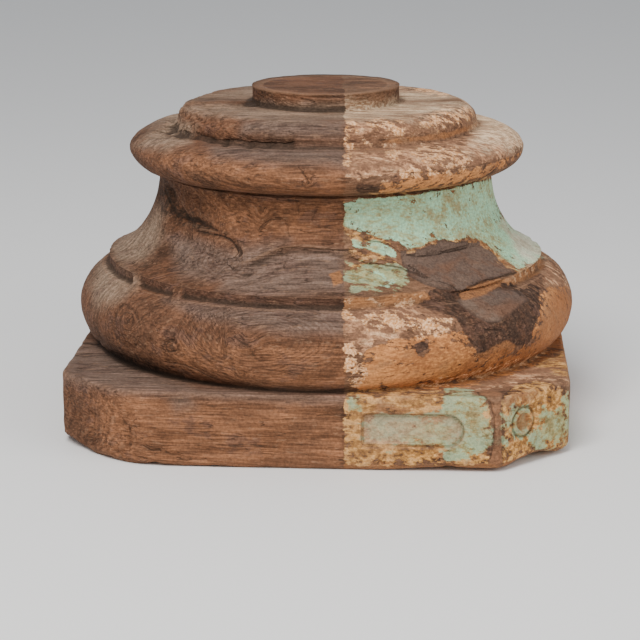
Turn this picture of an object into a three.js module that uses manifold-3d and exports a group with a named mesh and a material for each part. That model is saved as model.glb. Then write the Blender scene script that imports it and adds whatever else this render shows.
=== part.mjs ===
// A salvaged wooden column base, cut from one block of wood.
// A square plinth with cut corners carries a stack of turned mouldings: a big round, a flange,
// a hollow, a smaller round, a step and a sloping crown, and the foot of the shaft's tenon.
// Old breaks have taken a flat flake off the hollow and another off the big round.
//
// Millimetres, +Z up. The origin is the centre of the underside, on the turned axis, and the face
// with the sunk panel looks along -Y. An azimuth is measured from -Y, and grows towards +X.

import * as THREE from 'three';
import { mergeVertices } from 'three/addons/utils/BufferGeometryUtils.js';
import Module from 'manifold-3d';

const wasm = await Module();
wasm.setup();

// Plinth
const PLINTH_WIDTH = 420;
const PLINTH_HEIGHT = 63;
const CORNER_CUT = 59;
const EDGE_WEAR = 5;
const EDGE_WEAR_STEPS = 3;

// Sunk panel on the front face, square at its left end and round at its right end
const PANEL_LENGTH = 80;
const PANEL_HEIGHT = 26;
const PANEL_DEPTH = 2.5;
const PANEL_FROM_ARRIS = 29;
const PANEL_RISE = 2.5;
const PANEL_ARC_STEPS = 14;

// Roundel on the cut corner at the right: a ring left standing between a groove and a sunk eye
const ROUNDEL_RADIUS = 15;
const ROUNDEL_GROOVE = 2;
const ROUNDEL_GROOVE_DEPTH = 1.6;
const ROUNDEL_RING = 3.5;
const ROUNDEL_EYE_DEPTH = 2.5;
const ROUNDEL_OFFSET = 17;
const ROUNDEL_RISE = 5.5;
const ROUNDEL_STEPS = 28;

// Turned mouldings, from the plinth upwards
const BIG_ROUND_DIAMETER = 436;
const BIG_ROUND_HEIGHT = 68;
const BIG_ROUND_NOSE = 30;
const BIG_ROUND_UNDERCUT = 16;
const FLANGE_SETBACK = 24;
const FLANGE_HEIGHT = 6.5;
const FLANGE_BATTER = 4;
const NECK_DIAMETER = 290;
const HOLLOW_HEIGHT = 71;
const SMALL_ROUND_PROJECTION = 27.6;
const SMALL_ROUND_HEIGHT = 38.5;
const SMALL_ROUND_NOSE = 20.5;
const CREASE_DEPTH = 3;
const STEP_SETBACK = 39.3;
const STEP_HEIGHT = 5;
const STEP_BATTER = 1.8;
const CROWN_SETBACK = 15.5;
const CROWN_HEIGHT = 15;
const STUB_DIAMETER = 130;
const STUB_HEIGHT = 14;
const TURNING_SEGMENTS = 84;

// How full each moulding's curve is: 1 is a quarter of an ellipse, and more is a flatter arc of one
const BIG_ROUND_LOWER_FULLNESS = 2;
const BIG_ROUND_UPPER_FULLNESS = 3;
const HOLLOW_FULLNESS = 1.25;
const CROWN_FULLNESS = 1.6;

// Old breaks: each is a flat face, placed by its azimuth and by how steeply it looks up
const HOLLOW_BREAK = { azimuth: 44.5, lean: 51, depth: 7.6, halfWidth: 56, below: 20, above: 43 };
const ROUND_BREAK = { azimuth: 42, lean: 44, depth: 3, halfWidth: 32, below: 24, above: 24 };
const ROUND_BREAK_RISE = 60;
const ROUND_BREAK_SETBACK = 14;

// Lower corners of the plinth, worn away where it has stood and been dragged
const CORNER_WEAR = { depth: 9, lean: -45, halfWidth: 60, below: 30, above: 30 };

const MATERIAL = new THREE.MeshStandardMaterial({ color: 0x8a6148, roughness: 0.8, metalness: 0 });

// Solids

function solidFrom(geometry) {
  const bare = geometry.index ? geometry.toNonIndexed() : geometry.clone();
  bare.deleteAttribute('normal');
  bare.deleteAttribute('uv');
  const merged = mergeVertices(bare);
  const vertProperties = new Float32Array(merged.attributes.position.array);
  const triVerts = new Uint32Array(merged.index.array);
  return new wasm.Manifold(new wasm.Mesh({ numProp: 3, vertProperties, triVerts }));
}

function geometryFrom(solid) {
  const mesh = solid.getMesh();
  const geometry = new THREE.BufferGeometry();
  geometry.setAttribute('position', new THREE.BufferAttribute(mesh.vertProperties, 3));
  geometry.setIndex(new THREE.BufferAttribute(mesh.triVerts, 1));
  geometry.computeVertexNormals();
  return geometry;
}

// Directions: a bearing is level and points outwards at an azimuth, a side is level and square to it

function bearing(azimuth) {
  const angle = THREE.MathUtils.degToRad(azimuth);
  return new THREE.Vector3(Math.sin(angle), -Math.cos(angle), 0);
}

function side(azimuth) {
  const angle = THREE.MathUtils.degToRad(azimuth);
  return new THREE.Vector3(Math.cos(angle), Math.sin(angle), 0);
}

// A block whose inner face is the flat face that a break leaves, a given depth below a point
function breakBlock(point, { azimuth, lean, depth, halfWidth, below, above }) {
  const tilt = THREE.MathUtils.degToRad(lean);
  const out = bearing(azimuth).multiplyScalar(Math.cos(tilt));
  out.z = Math.sin(tilt);
  const across = side(azimuth);
  const upSlope = new THREE.Vector3().crossVectors(out, across);
  const reach = below + above + depth;
  const block = new THREE.BoxGeometry(2 * halfWidth, below + above, reach);
  block.translate(0, (above - below) / 2, reach / 2 - depth);
  const place = new THREE.Matrix4().makeBasis(across, upSlope, out);
  place.setPosition(point);
  return solidFrom(block.applyMatrix4(place));
}

// Plinth

const halfWidth = PLINTH_WIDTH / 2;
const arris = halfWidth - CORNER_CUT;
const cutFaceDistance = (halfWidth + arris) * Math.SQRT1_2;

function plinthOutline(inset) {
  const flat = halfWidth - inset;
  const corner = cutFaceDistance * Math.SQRT2 - inset * Math.SQRT2 - flat;
  const shape = new THREE.Shape();
  shape.moveTo(corner, -flat);
  shape.lineTo(flat, -corner);
  shape.lineTo(flat, corner);
  shape.lineTo(corner, flat);
  shape.lineTo(-corner, flat);
  shape.lineTo(-flat, corner);
  shape.lineTo(-flat, -corner);
  shape.lineTo(-corner, -flat);
  shape.closePath();
  return shape;
}

function makePlinth() {
  const block = new THREE.ExtrudeGeometry(plinthOutline(EDGE_WEAR), {
    depth: PLINTH_HEIGHT - 2 * EDGE_WEAR,
    bevelEnabled: true,
    bevelSize: EDGE_WEAR,
    bevelThickness: EDGE_WEAR,
    bevelSegments: EDGE_WEAR_STEPS,
  });
  block.translate(0, 0, EDGE_WEAR);
  return solidFrom(block);
}

// Carving on the plinth: each cutter is an outline in a face's own plane, pushed in from outside

function sinkIntoFace(shape, depth, azimuth, faceDistance, offset, height) {
  const cutter = new THREE.ExtrudeGeometry(shape, { depth: 2 * depth, bevelEnabled: false });
  cutter.translate(offset, height, faceDistance - depth);
  const place = new THREE.Matrix4().makeBasis(side(azimuth), new THREE.Vector3(0, 0, 1), bearing(azimuth));
  return solidFrom(cutter.applyMatrix4(place));
}

function panelShape() {
  const radius = PANEL_HEIGHT / 2;
  const straight = PANEL_LENGTH - radius;
  const shape = new THREE.Shape();
  shape.moveTo(0, -radius);
  for (let step = 0; step <= PANEL_ARC_STEPS; step += 1) {
    const angle = Math.PI * (step / PANEL_ARC_STEPS - 0.5);
    shape.lineTo(straight + radius * Math.cos(angle), radius * Math.sin(angle));
  }
  shape.lineTo(0, radius);
  shape.closePath();
  return shape;
}

function discShape(radius) {
  const shape = new THREE.Shape();
  for (let step = 0; step < ROUNDEL_STEPS; step += 1) {
    const angle = (2 * Math.PI * step) / ROUNDEL_STEPS;
    const x = radius * Math.cos(angle);
    const y = radius * Math.sin(angle);
    if (step === 0) shape.moveTo(x, y);
    else shape.lineTo(x, y);
  }
  shape.closePath();
  return shape;
}

function carvePlinth(plinth) {
  const middle = PLINTH_HEIGHT / 2;
  const panelStart = arris - PANEL_FROM_ARRIS - PANEL_LENGTH;
  const panel = sinkIntoFace(panelShape(), PANEL_DEPTH, 0, halfWidth, panelStart, middle + PANEL_RISE);
  const sinkDisc = (radius, depth) =>
    sinkIntoFace(discShape(radius), depth, 45, cutFaceDistance, -ROUNDEL_OFFSET, middle + ROUNDEL_RISE);
  const ringOuter = ROUNDEL_RADIUS - ROUNDEL_GROOVE;
  const groove = sinkDisc(ROUNDEL_RADIUS, ROUNDEL_GROOVE_DEPTH).subtract(
    sinkDisc(ringOuter, ROUNDEL_GROOVE_DEPTH + ROUNDEL_GROOVE)
  );
  const eye = sinkDisc(ringOuter - ROUNDEL_RING, ROUNDEL_EYE_DEPTH);
  return plinth.subtract(panel).subtract(groove).subtract(eye);
}

function wearPlinthCorners(plinth) {
  const corner = Math.atan2(halfWidth, arris);
  const azimuth = THREE.MathUtils.radToDeg(corner);
  let worn = plinth;
  for (const hand of [-1, 1]) {
    const point = new THREE.Vector3(hand * halfWidth, -arris, 0);
    worn = worn.subtract(breakBlock(point, { ...CORNER_WEAR, azimuth: hand * azimuth }));
  }
  return worn;
}

// Turned mouldings: arc points run from the nose, where the curve stands upright, to an end

function arcPoints(nose, end, fullness, steps) {
  const depth = (nose.x - end.x) * fullness;
  const sweep = Math.acos(1 - 1 / fullness);
  const rise = (end.y - nose.y) / Math.sin(sweep);
  const points = [];
  for (let step = 0; step <= steps; step += 1) {
    const angle = (sweep * step) / steps;
    const radius = nose.x - depth * (1 - Math.cos(angle));
    points.push(new THREE.Vector2(radius, nose.y + rise * Math.sin(angle)));
  }
  return points;
}

const bigRoundRadius = BIG_ROUND_DIAMETER / 2;
const bigRoundTop = PLINTH_HEIGHT + BIG_ROUND_HEIGHT;
const flangeFoot = new THREE.Vector2(bigRoundRadius - FLANGE_SETBACK, bigRoundTop);
const flangeEdge = new THREE.Vector2(flangeFoot.x - FLANGE_BATTER, bigRoundTop + FLANGE_HEIGHT);
const neck = new THREE.Vector2(NECK_DIAMETER / 2, flangeEdge.y + HOLLOW_HEIGHT);

function turnedProfile() {
  const bigNose = new THREE.Vector2(bigRoundRadius, PLINTH_HEIGHT + BIG_ROUND_NOSE);
  const bigFoot = new THREE.Vector2(bigRoundRadius - BIG_ROUND_UNDERCUT, PLINTH_HEIGHT);
  const crease = new THREE.Vector2(neck.x - CREASE_DEPTH, neck.y);
  const smallNose = new THREE.Vector2(neck.x + SMALL_ROUND_PROJECTION, neck.y + SMALL_ROUND_NOSE);
  const stepFoot = new THREE.Vector2(smallNose.x - STEP_SETBACK, neck.y + SMALL_ROUND_HEIGHT);
  const stepTop = new THREE.Vector2(stepFoot.x - STEP_BATTER, stepFoot.y + STEP_HEIGHT);
  const crownTop = new THREE.Vector2(stepTop.x - CROWN_SETBACK, stepTop.y + CROWN_HEIGHT);
  const stubRadius = STUB_DIAMETER / 2;
  const insidePlinth = PLINTH_HEIGHT / 2;
  return [
    new THREE.Vector2(0, insidePlinth),
    new THREE.Vector2(bigFoot.x, insidePlinth),
    ...arcPoints(bigNose, bigFoot, BIG_ROUND_LOWER_FULLNESS, 5).reverse(),
    ...arcPoints(bigNose, flangeFoot, BIG_ROUND_UPPER_FULLNESS, 6).slice(1),
    flangeEdge,
    ...arcPoints(neck, flangeEdge, HOLLOW_FULLNESS, 8).reverse().slice(1),
    ...arcPoints(smallNose, crease, 1, 5).reverse(),
    ...arcPoints(smallNose, stepFoot, 1, 5).slice(1),
    ...arcPoints(stepTop, crownTop, CROWN_FULLNESS, 3),
    new THREE.Vector2(stubRadius, crownTop.y),
    new THREE.Vector2(stubRadius, crownTop.y + STUB_HEIGHT),
    new THREE.Vector2(0, crownTop.y + STUB_HEIGHT),
  ];
}

function makeTurnedWork() {
  const lathe = new THREE.LatheGeometry(turnedProfile(), TURNING_SEGMENTS);
  lathe.rotateX(Math.PI / 2);
  return solidFrom(lathe);
}

// Breaks in the turned work

function breakTurnedWork(solid) {
  const onFlange = bearing(HOLLOW_BREAK.azimuth).multiplyScalar(flangeEdge.x);
  onFlange.z = flangeEdge.y;
  const onRound = bearing(ROUND_BREAK.azimuth).multiplyScalar(bigRoundRadius - ROUND_BREAK_SETBACK);
  onRound.z = PLINTH_HEIGHT + ROUND_BREAK_RISE;
  return solid.subtract(breakBlock(onFlange, HOLLOW_BREAK)).subtract(breakBlock(onRound, ROUND_BREAK));
}

function makeColumnBase() {
  const plinth = wearPlinthCorners(carvePlinth(makePlinth()));
  const solid = plinth.add(breakTurnedWork(makeTurnedWork()));
  const mesh = new THREE.Mesh(geometryFrom(solid), MATERIAL);
  mesh.name = 'column_base';
  return mesh;
}

const object = new THREE.Group();
object.add(makeColumnBase());

export default object;
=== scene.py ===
# %% [markdown]
# A salvaged column base, cut from one block of wood. One half was stripped back to bare wood and
# the other still wears the rags of its old paint. This lesson builds it on top of the measured
# frame of the part: one finely divided skin, then its breaks and cracks, then its finishes.

# %% Load the frame
import math
import bmesh
import bpy
import numpy as np
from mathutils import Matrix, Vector


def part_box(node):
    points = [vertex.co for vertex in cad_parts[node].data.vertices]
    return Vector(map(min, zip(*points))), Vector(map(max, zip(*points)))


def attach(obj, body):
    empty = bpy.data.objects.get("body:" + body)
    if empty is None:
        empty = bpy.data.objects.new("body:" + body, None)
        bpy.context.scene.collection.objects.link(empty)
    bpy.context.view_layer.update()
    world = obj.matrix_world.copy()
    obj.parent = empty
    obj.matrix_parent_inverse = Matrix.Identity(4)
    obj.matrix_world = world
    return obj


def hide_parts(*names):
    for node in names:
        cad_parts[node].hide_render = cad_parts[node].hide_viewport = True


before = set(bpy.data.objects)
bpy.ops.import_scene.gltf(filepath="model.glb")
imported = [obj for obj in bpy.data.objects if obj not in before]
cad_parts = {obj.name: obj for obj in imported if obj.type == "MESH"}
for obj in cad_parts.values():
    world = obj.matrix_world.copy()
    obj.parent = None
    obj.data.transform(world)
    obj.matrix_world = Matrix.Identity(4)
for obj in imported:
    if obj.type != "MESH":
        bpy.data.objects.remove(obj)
bpy.context.view_layer.update()

# %% [markdown]
# The camera comes first, because everything else is judged through it. The photograph looks down
# on the base from a little to the right of its front, through a long lens.

# %% Camera
CAMERA_AZIMUTH = math.radians(3.65)
CAMERA_PITCH = math.radians(14.26)
CAMERA_DISTANCE = 1.801
CAMERA_HEIGHT = 0.528
CAMERA_SIDE = -0.0047
FIELD_OF_VIEW = math.radians(17.33)


def make_camera():
    data = bpy.data.cameras.new("camera")
    data.angle = FIELD_OF_VIEW
    camera = bpy.data.objects.new("camera", data)
    right = Vector((math.cos(CAMERA_AZIMUTH), math.sin(CAMERA_AZIMUTH), 0))
    back = Vector((math.sin(CAMERA_AZIMUTH), -math.cos(CAMERA_AZIMUTH), 0))
    camera.location = right * CAMERA_SIDE + back * CAMERA_DISTANCE + Vector((0, 0, CAMERA_HEIGHT))
    camera.rotation_euler = (math.pi / 2 - CAMERA_PITCH, 0, CAMERA_AZIMUTH)
    bpy.context.scene.collection.objects.link(camera)
    bpy.context.scene.camera = camera
    return camera


camera = make_camera()
print("camera at", [round(c, 3) for c in camera.location])

# %% [markdown]
# The sizes are those of the solid frame. Writing them down once, by the names a carver would use,
# lets every later step take its place from them. A hair is less than any real distance here.

# %% Sizes of the base
MM = 0.001
HAIR = 0.001 * MM
low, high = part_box("column_base")
BIG_ROUND_RADIUS = high.x
TOP = high.z
HALF_WIDTH = 210 * MM
PLINTH_HEIGHT = 63 * MM
CORNER_CUT = 59 * MM
EDGE_WEAR = 5 * MM
BIG_NOSE_HEIGHT = PLINTH_HEIGHT + 30 * MM
BIG_FOOT_RADIUS = BIG_ROUND_RADIUS - 16 * MM
BIG_ROUND_TOP = PLINTH_HEIGHT + 68 * MM
FLANGE_RADIUS = BIG_ROUND_RADIUS - 24 * MM
FLANGE_TOP = BIG_ROUND_TOP + 6.5 * MM
FLANGE_TOP_RADIUS = FLANGE_RADIUS - 4 * MM
NECK_RADIUS = 145 * MM
NECK_TOP = FLANGE_TOP + 71 * MM
CREASE_RADIUS = NECK_RADIUS - 3 * MM
SMALL_ROUND_RADIUS = NECK_RADIUS + 27.6 * MM
SMALL_NOSE_HEIGHT = NECK_TOP + 20.5 * MM
STEP_RADIUS = SMALL_ROUND_RADIUS - 39.3 * MM
STEP_FOOT = NECK_TOP + 38.5 * MM
STEP_TOP_RADIUS = STEP_RADIUS - 1.8 * MM
STEP_TOP = STEP_FOOT + 5 * MM
LEDGE_RADIUS = STEP_TOP_RADIUS - 15.5 * MM
LEDGE_HEIGHT = STEP_TOP + 15 * MM
STUB_RADIUS = 65 * MM
print("ledge at", round(LEDGE_HEIGHT, 4), "and top at", round(TOP, 4))

# %% [markdown]
# The outline is one line from the centre of the underside, out along the plinth, up over every
# moulding and back to the axis. A turner works such curves from arcs, so each curve here is an
# arc of an ellipse that stands upright at its nose and ends where the next moulding begins.


# %% Outline of the mouldings
def arc(nose, end, fullness, steps):
    """Points from nose to end: fullness 1 is a quarter of an ellipse, more is a flatter arc."""
    depth = (nose[0] - end[0]) * fullness
    sweep = math.acos(1 - 1 / fullness)
    rise = (end[1] - nose[1]) / math.sin(sweep)
    angles = np.linspace(0, sweep, steps + 1)
    return [(nose[0] - depth * (1 - math.cos(a)), nose[1] + rise * math.sin(a)) for a in angles]


def line(start, end, steps):
    shares = np.linspace(0, 1, steps + 1)
    return [tuple(np.array(start) * (1 - s) + np.array(end) * s) for s in shares]


def outline():
    edge = HALF_WIDTH - EDGE_WEAR
    big_nose = (BIG_ROUND_RADIUS, BIG_NOSE_HEIGHT)
    neck = (NECK_RADIUS, NECK_TOP)
    small_nose = (SMALL_ROUND_RADIUS, SMALL_NOSE_HEIGHT)
    flange_top = (FLANGE_TOP_RADIUS, FLANGE_TOP)
    step_top = (STEP_TOP_RADIUS, STEP_TOP)
    ledge = (LEDGE_RADIUS, LEDGE_HEIGHT)
    parts = [
        line((0, 0), (edge, 0), steps=5),
        arc((HALF_WIDTH, EDGE_WEAR), (edge, 0), fullness=1, steps=4)[::-1],
        line((HALF_WIDTH, EDGE_WEAR), (HALF_WIDTH, PLINTH_HEIGHT - EDGE_WEAR), steps=29),
        arc((HALF_WIDTH, PLINTH_HEIGHT - EDGE_WEAR), (edge, PLINTH_HEIGHT), fullness=1, steps=4),
        line((edge, PLINTH_HEIGHT), (BIG_FOOT_RADIUS, PLINTH_HEIGHT), steps=14),
        arc(big_nose, (BIG_FOOT_RADIUS, PLINTH_HEIGHT), fullness=2, steps=20)[::-1],
        arc(big_nose, (FLANGE_RADIUS, BIG_ROUND_TOP), fullness=3, steps=28),
        line((FLANGE_RADIUS, BIG_ROUND_TOP), flange_top, steps=5),
        arc(neck, flange_top, fullness=1.25, steps=50)[::-1],
        arc(small_nose, (CREASE_RADIUS, NECK_TOP), fullness=1, steps=20)[::-1],
        arc(small_nose, (STEP_RADIUS, STEP_FOOT), fullness=1, steps=24),
        line((STEP_RADIUS, STEP_FOOT), step_top, steps=4),
        arc(step_top, ledge, fullness=1.6, steps=12),
        line(ledge, (STUB_RADIUS, LEDGE_HEIGHT), steps=12),
        line((STUB_RADIUS, LEDGE_HEIGHT), (STUB_RADIUS, TOP), steps=6),
        line((STUB_RADIUS, TOP), (0, TOP), steps=5),
    ]
    points = [parts[0][0]]
    for part in parts:
        points += [p for p in part if math.dist(p, points[-1]) > HAIR]
    return points


profile = np.array(outline())
print("outline has", len(profile), "points")

# %% [markdown]
# The outline is spun round the axis in turns, one or two for each face of the plinth, so that a
# line of the mesh lies on every corner of the plinth. The faces that the photograph shows get
# most of the columns, and the front's right half, with its panel, the most of all. A layer on the
# vertices keeps how far along the outline each one lies.

# %% Spin the skin
ARRIS = math.atan2(HALF_WIDTH - CORNER_CUT, HALF_WIDTH)
FACE_TURN = 2 * ARRIS
CORNER_TURN = math.pi / 2 - FACE_TURN
COLUMNS = [(60, 96), (40,), (54,), (10,), (44,), (10,), (54,), (36,)]
tape_of_ring = np.concatenate([[0], np.cumsum(np.hypot(*np.diff(profile, axis=0).T))])


def spin_face(start, turn, steps):
    """One face's turn of the outline, as a mesh of its own, because short spins are fast."""
    bm = bmesh.new()
    distance = bm.verts.layers.float.new("tape")
    wire = []
    for (radius, height), tape in zip(profile, tape_of_ring):
        vert = bm.verts.new((radius * math.cos(start), radius * math.sin(start), height))
        vert[distance] = tape
        wire.append(vert)
    edges = [bm.edges.new(pair) for pair in zip(wire, wire[1:])]
    bmesh.ops.spin(
        bm, geom=wire + edges, cent=(0, 0, 0), axis=(0, 0, 1), angle=turn, steps=steps, use_merge=False
    )
    mesh = bpy.data.meshes.new("face_turn")
    bm.to_mesh(mesh)
    bm.free()
    return mesh


def spin_skin():
    whole = bmesh.new()
    start = -math.pi / 2 - ARRIS
    for face, parts in enumerate(COLUMNS):
        turn = (CORNER_TURN if face % 2 else FACE_TURN) / len(parts)
        for steps in parts:
            part = spin_face(start, turn, steps)
            whole.from_mesh(part)
            bpy.data.meshes.remove(part)
            start += turn
    bmesh.ops.remove_doubles(whole, verts=whole.verts, dist=HAIR)
    bmesh.ops.recalc_face_normals(whole, faces=whole.faces)
    mesh = bpy.data.meshes.new("column_base_wood")
    whole.to_mesh(mesh)
    whole.free()
    return mesh


skin = spin_skin()
print("skin has", len(skin.vertices), "vertices and", len(skin.polygons), "faces")

# %% [markdown]
# From here the skin is shaped by moving its vertices, as a carver works a blank. Each place on
# it has two easy measures: its azimuth round the axis from the front, and the tape, which is the
# distance along the outline. The lists of places below give azimuth in degrees and height in
# millimetres, and the height is turned into tape when it is used.

# %% Measures on the skin
count = len(skin.vertices)
flat_points = np.empty(count * 3)
skin.vertices.foreach_get("co", flat_points)
points = flat_points.reshape(count, 3)
tape = np.empty(count)
skin.attributes["tape"].data.foreach_get("value", tape)
azimuth = np.arctan2(points[:, 0], -points[:, 1])
ring_radius = np.hypot(points[:, 0], points[:, 1])
height = points[:, 2].copy()
PLINTH_EDGE_RING = int(np.argmax(profile[:, 0] >= HALF_WIDTH - HAIR))
PLINTH_TOP_TAPE = tape_of_ring[np.argmax(profile[:, 1] >= PLINTH_HEIGHT - HAIR)]
FOOT_TAPE = tape_of_ring[np.argmax(profile[:, 1] > PLINTH_HEIGHT + HAIR) - 1]


def tape_at(height_mm):
    upright = profile[PLINTH_EDGE_RING:]
    return float(np.interp(height_mm * MM, upright[:, 1], tape_of_ring[PLINTH_EDGE_RING:]))


def smooth(value, start, end):
    """0 at start, 1 at end and an easy curve between."""
    share = np.clip((value - start) / (end - start), 0, 1)
    return share * share * (3 - 2 * share)


def band(value, start, end, edge):
    return smooth(value, start - edge, start + edge) * (1 - smooth(value, end - edge, end + edge))


print("tape at the plinth's top", round(PLINTH_TOP_TAPE, 4), "and at the foot", round(FOOT_TAPE, 4))

# %% [markdown]
# Wood never wears evenly. A smooth noise made of a few sizes of bump, with a fixed seed for each
# use, gives every dent and stain the same place each time the script runs.


# %% Noise
NOISE_TABLE = 8192
CELL_PRIMES = (73856093, 19349663, 83492791)
OCTAVE_SHIFT = 7.7


def noise(places, size, seed, octaves=3):
    """Smooth noise from about -1 to 1, whose widest bumps are about `size` metres."""
    table = np.random.default_rng(seed).uniform(-1, 1, NOISE_TABLE)
    total = np.zeros(len(places))
    reach = 0
    for octave in range(octaves):
        weight = 0.5**octave
        cell = places / size * 2**octave + octave * OCTAVE_SHIFT
        corner = np.floor(cell).astype(np.int64)
        share = cell - corner
        share = share * share * (3 - 2 * share)
        for step in np.ndindex(2, 2, 2):
            key = np.zeros(len(places), np.int64)
            part = np.ones(len(places))
            for axis in range(3):
                key ^= (corner[:, axis] + step[axis]) * CELL_PRIMES[axis]
                part *= share[:, axis] if step[axis] else 1 - share[:, axis]
            total += weight * part * table[key % NOISE_TABLE]
        reach += weight
    return total / reach


sample = noise(points, 50 * MM, 1)
print("noise runs from", round(float(sample.min()), 2), "to", round(float(sample.max()), 2))

# %% [markdown]
# The lower rings are still round. They are pushed out to the plinth's real plan, a square with
# cut corners. The rings of the rounded edges follow a plan that is a little smaller, so the edge
# keeps the same roundness all the way round.


# %% Square the plinth
CORNER_FACE = (2 * HALF_WIDTH - CORNER_CUT) * math.sqrt(0.5)
LEAST_FACING = 0.3


def face_reaches(inset):
    """How far out each of the plinth's eight faces, made smaller by an inset, lies for every vertex."""
    reaches = []
    for face in range(8):
        facing = np.cos(azimuth - face * math.pi / 4)
        flat = (CORNER_FACE if face % 2 else HALF_WIDTH) - inset
        reaches.append(np.where(facing > LEAST_FACING, flat / np.maximum(facing, LEAST_FACING), np.inf))
    return np.array(reaches)


def square_plinth():
    edge = HALF_WIDTH - EDGE_WEAR
    inset = np.clip(HALF_WIDTH - ring_radius, 0, EDGE_WEAR)
    reach = face_reaches(inset).min(axis=0)
    under = (ring_radius < edge) & (height < EDGE_WEAR)
    reach = np.where(under, reach * ring_radius / edge, reach)
    on_top = (ring_radius < edge) & (height > EDGE_WEAR)
    share = (ring_radius - BIG_FOOT_RADIUS) / (edge - BIG_FOOT_RADIUS)
    reach = np.where(on_top, BIG_FOOT_RADIUS + share * (reach - BIG_FOOT_RADIUS), reach)
    plinth = tape < FOOT_TAPE - HAIR
    scale = np.where(plinth & (ring_radius > HAIR), reach / np.maximum(ring_radius, HAIR), 1)
    points[:, 0] *= scale
    points[:, 1] *= scale


square_plinth()
ring_radius = np.hypot(points[:, 0], points[:, 1])
skin.vertices.foreach_set("co", points.ravel())
skin.update()
print("plinth corner reaches", round(float(ring_radius[height < PLINTH_HEIGHT].max()), 4))

# %% [markdown]
# A feature is placed by the line or the ring of places that was read off the photograph. Two
# measures are enough to work from: the gap between each vertex and a line, with a sign that says
# on which side it lies, and the same gap for a closed ring, positive inside it.

# %% Lines and patches on the skin
FAR = 30 * MM
unrolled = np.column_stack([azimuth, tape])
unrolled_scale = np.column_stack([ring_radius, np.ones(count)])
skin_degrees = np.degrees(azimuth)
skin_mm = height / MM


def on_skin(places):
    """Azimuth in radians and tape, from places in degrees and in millimetres of height."""
    return np.array([(math.radians(degrees), tape_at(mm)) for degrees, mm in places])


def near_path(path):
    """The vertices whose gap to the path can be less than FAR."""
    margin = np.array([FAR / NECK_RADIUS, FAR])
    low_end = path.min(axis=0) - margin
    high_end = path.max(axis=0) + margin
    return np.nonzero(np.all((unrolled > low_end) & (unrolled < high_end), axis=1))[0]


def signed_gap(places):
    """Metres from every vertex to the line through the places, positive on the line's left."""
    path = on_skin(places)
    near = near_path(path)
    best = np.full(len(near), FAR)
    for start, end in zip(path, path[1:]):
        to_start = (start - unrolled[near]) * unrolled_scale[near]
        run = (end - start) * unrolled_scale[near]
        share = np.clip(-(to_start * run).sum(axis=1) / (run * run).sum(axis=1), 0, 1)
        nearest = to_start + share[:, None] * run
        distance = np.hypot(nearest[:, 0], nearest[:, 1])
        turn = run[:, 1] * to_start[:, 0] - run[:, 0] * to_start[:, 1]
        best = np.where(distance < np.abs(best), np.copysign(distance, turn), best)
    gap = np.full(count, FAR)
    gap[near] = best
    return gap


def inside_ring(spots, corners):
    """Which spots lie inside a ring of corners, by how many of its sides lie beyond each spot."""
    across, along = spots.T
    crossings = np.zeros(len(spots), np.int64)
    for start, end in zip(corners, np.roll(corners, -1, axis=0)):
        if start[1] != end[1]:
            spans = (along >= min(start[1], end[1])) & (along < max(start[1], end[1]))
            slope = (end[0] - start[0]) / (end[1] - start[1])
            crossings += spans & (across < start[0] + (along - start[1]) * slope)
    return crossings % 2 == 1


def patch(places):
    """Metres from every vertex to the edge of a ring of places, positive inside the ring."""
    gap = np.abs(signed_gap(places + places[:1]))
    return np.where(inside_ring(unrolled, on_skin(places)), gap, -gap)


print("a line can be felt from", FAR / MM, "mm away")

# %% [markdown]
# Cracks and coats of paint are placed as they were seen. Every vertex is given the place that it
# has in the photograph, in pixels of its 640 by 640 picture, and each crack or coat is a line or
# a ring traced on that picture. The hidden half has no picture, so the front is folded round to it,
# like a mirror behind the axis, and drifts out of step so that it isn't a copy.

# %% Places in the picture
PICTURE_SIZE = 640
PIXEL = 0.83 * MM
BACK_DRIFT = 14
BACK_DRIFT_SIZE = 60 * MM
WOBBLE = 1.8
WOBBLE_SIZE = 9 * MM
LINE_REACH = 8
seen_from = np.array([math.sin(CAMERA_AZIMUTH), -math.cos(CAMERA_AZIMUTH), 0])
to_right = np.array([math.cos(CAMERA_AZIMUTH), math.sin(CAMERA_AZIMUTH), 0])


def picture_places():
    """Each vertex's pixel in the photograph, the hidden ones folded to the front."""
    behind = np.maximum(-(points @ seen_from), 0)
    folded = points + 2 * behind[:, None] * seen_from
    offset = folded - np.array(camera.location)
    pitch_cos, pitch_sin = math.cos(CAMERA_PITCH), math.sin(CAMERA_PITCH)
    away = -(offset @ seen_from) * pitch_cos - offset[:, 2] * pitch_sin
    rise = offset[:, 2] * pitch_cos - (offset @ seen_from) * pitch_sin
    focal = PICTURE_SIZE / 2 / math.tan(FIELD_OF_VIEW / 2)
    drift = BACK_DRIFT * smooth(behind, 0, BACK_DRIFT_SIZE)
    across = PICTURE_SIZE / 2 + focal * (offset @ to_right) / away
    down = PICTURE_SIZE / 2 - focal * rise / away
    across += drift * noise(points, BACK_DRIFT_SIZE, 61)
    down += drift * noise(points, BACK_DRIFT_SIZE, 62)
    return np.column_stack([across, down])


picture = picture_places()
front = smooth(points @ seen_from, -20 * MM, 10 * MM)
wobble = np.column_stack([noise(points, WOBBLE_SIZE, seed) for seed in (64, 65)]) * WOBBLE


def near_pixels(corners, margin):
    """The vertices seen within a margin of pixels round the corners of a line or ring."""
    low_end, high_end = corners.min(axis=0) - margin, corners.max(axis=0) + margin
    return np.all((picture > low_end) & (picture < high_end), axis=1)


def to_stretch(spot, start, end):
    """Offsets of spots from the nearest place on one stretch of a line."""
    run = end - start
    share = np.clip(((spot - start) @ run) / (run @ run), 0, 1)
    return spot - start - share[:, None] * run


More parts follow.
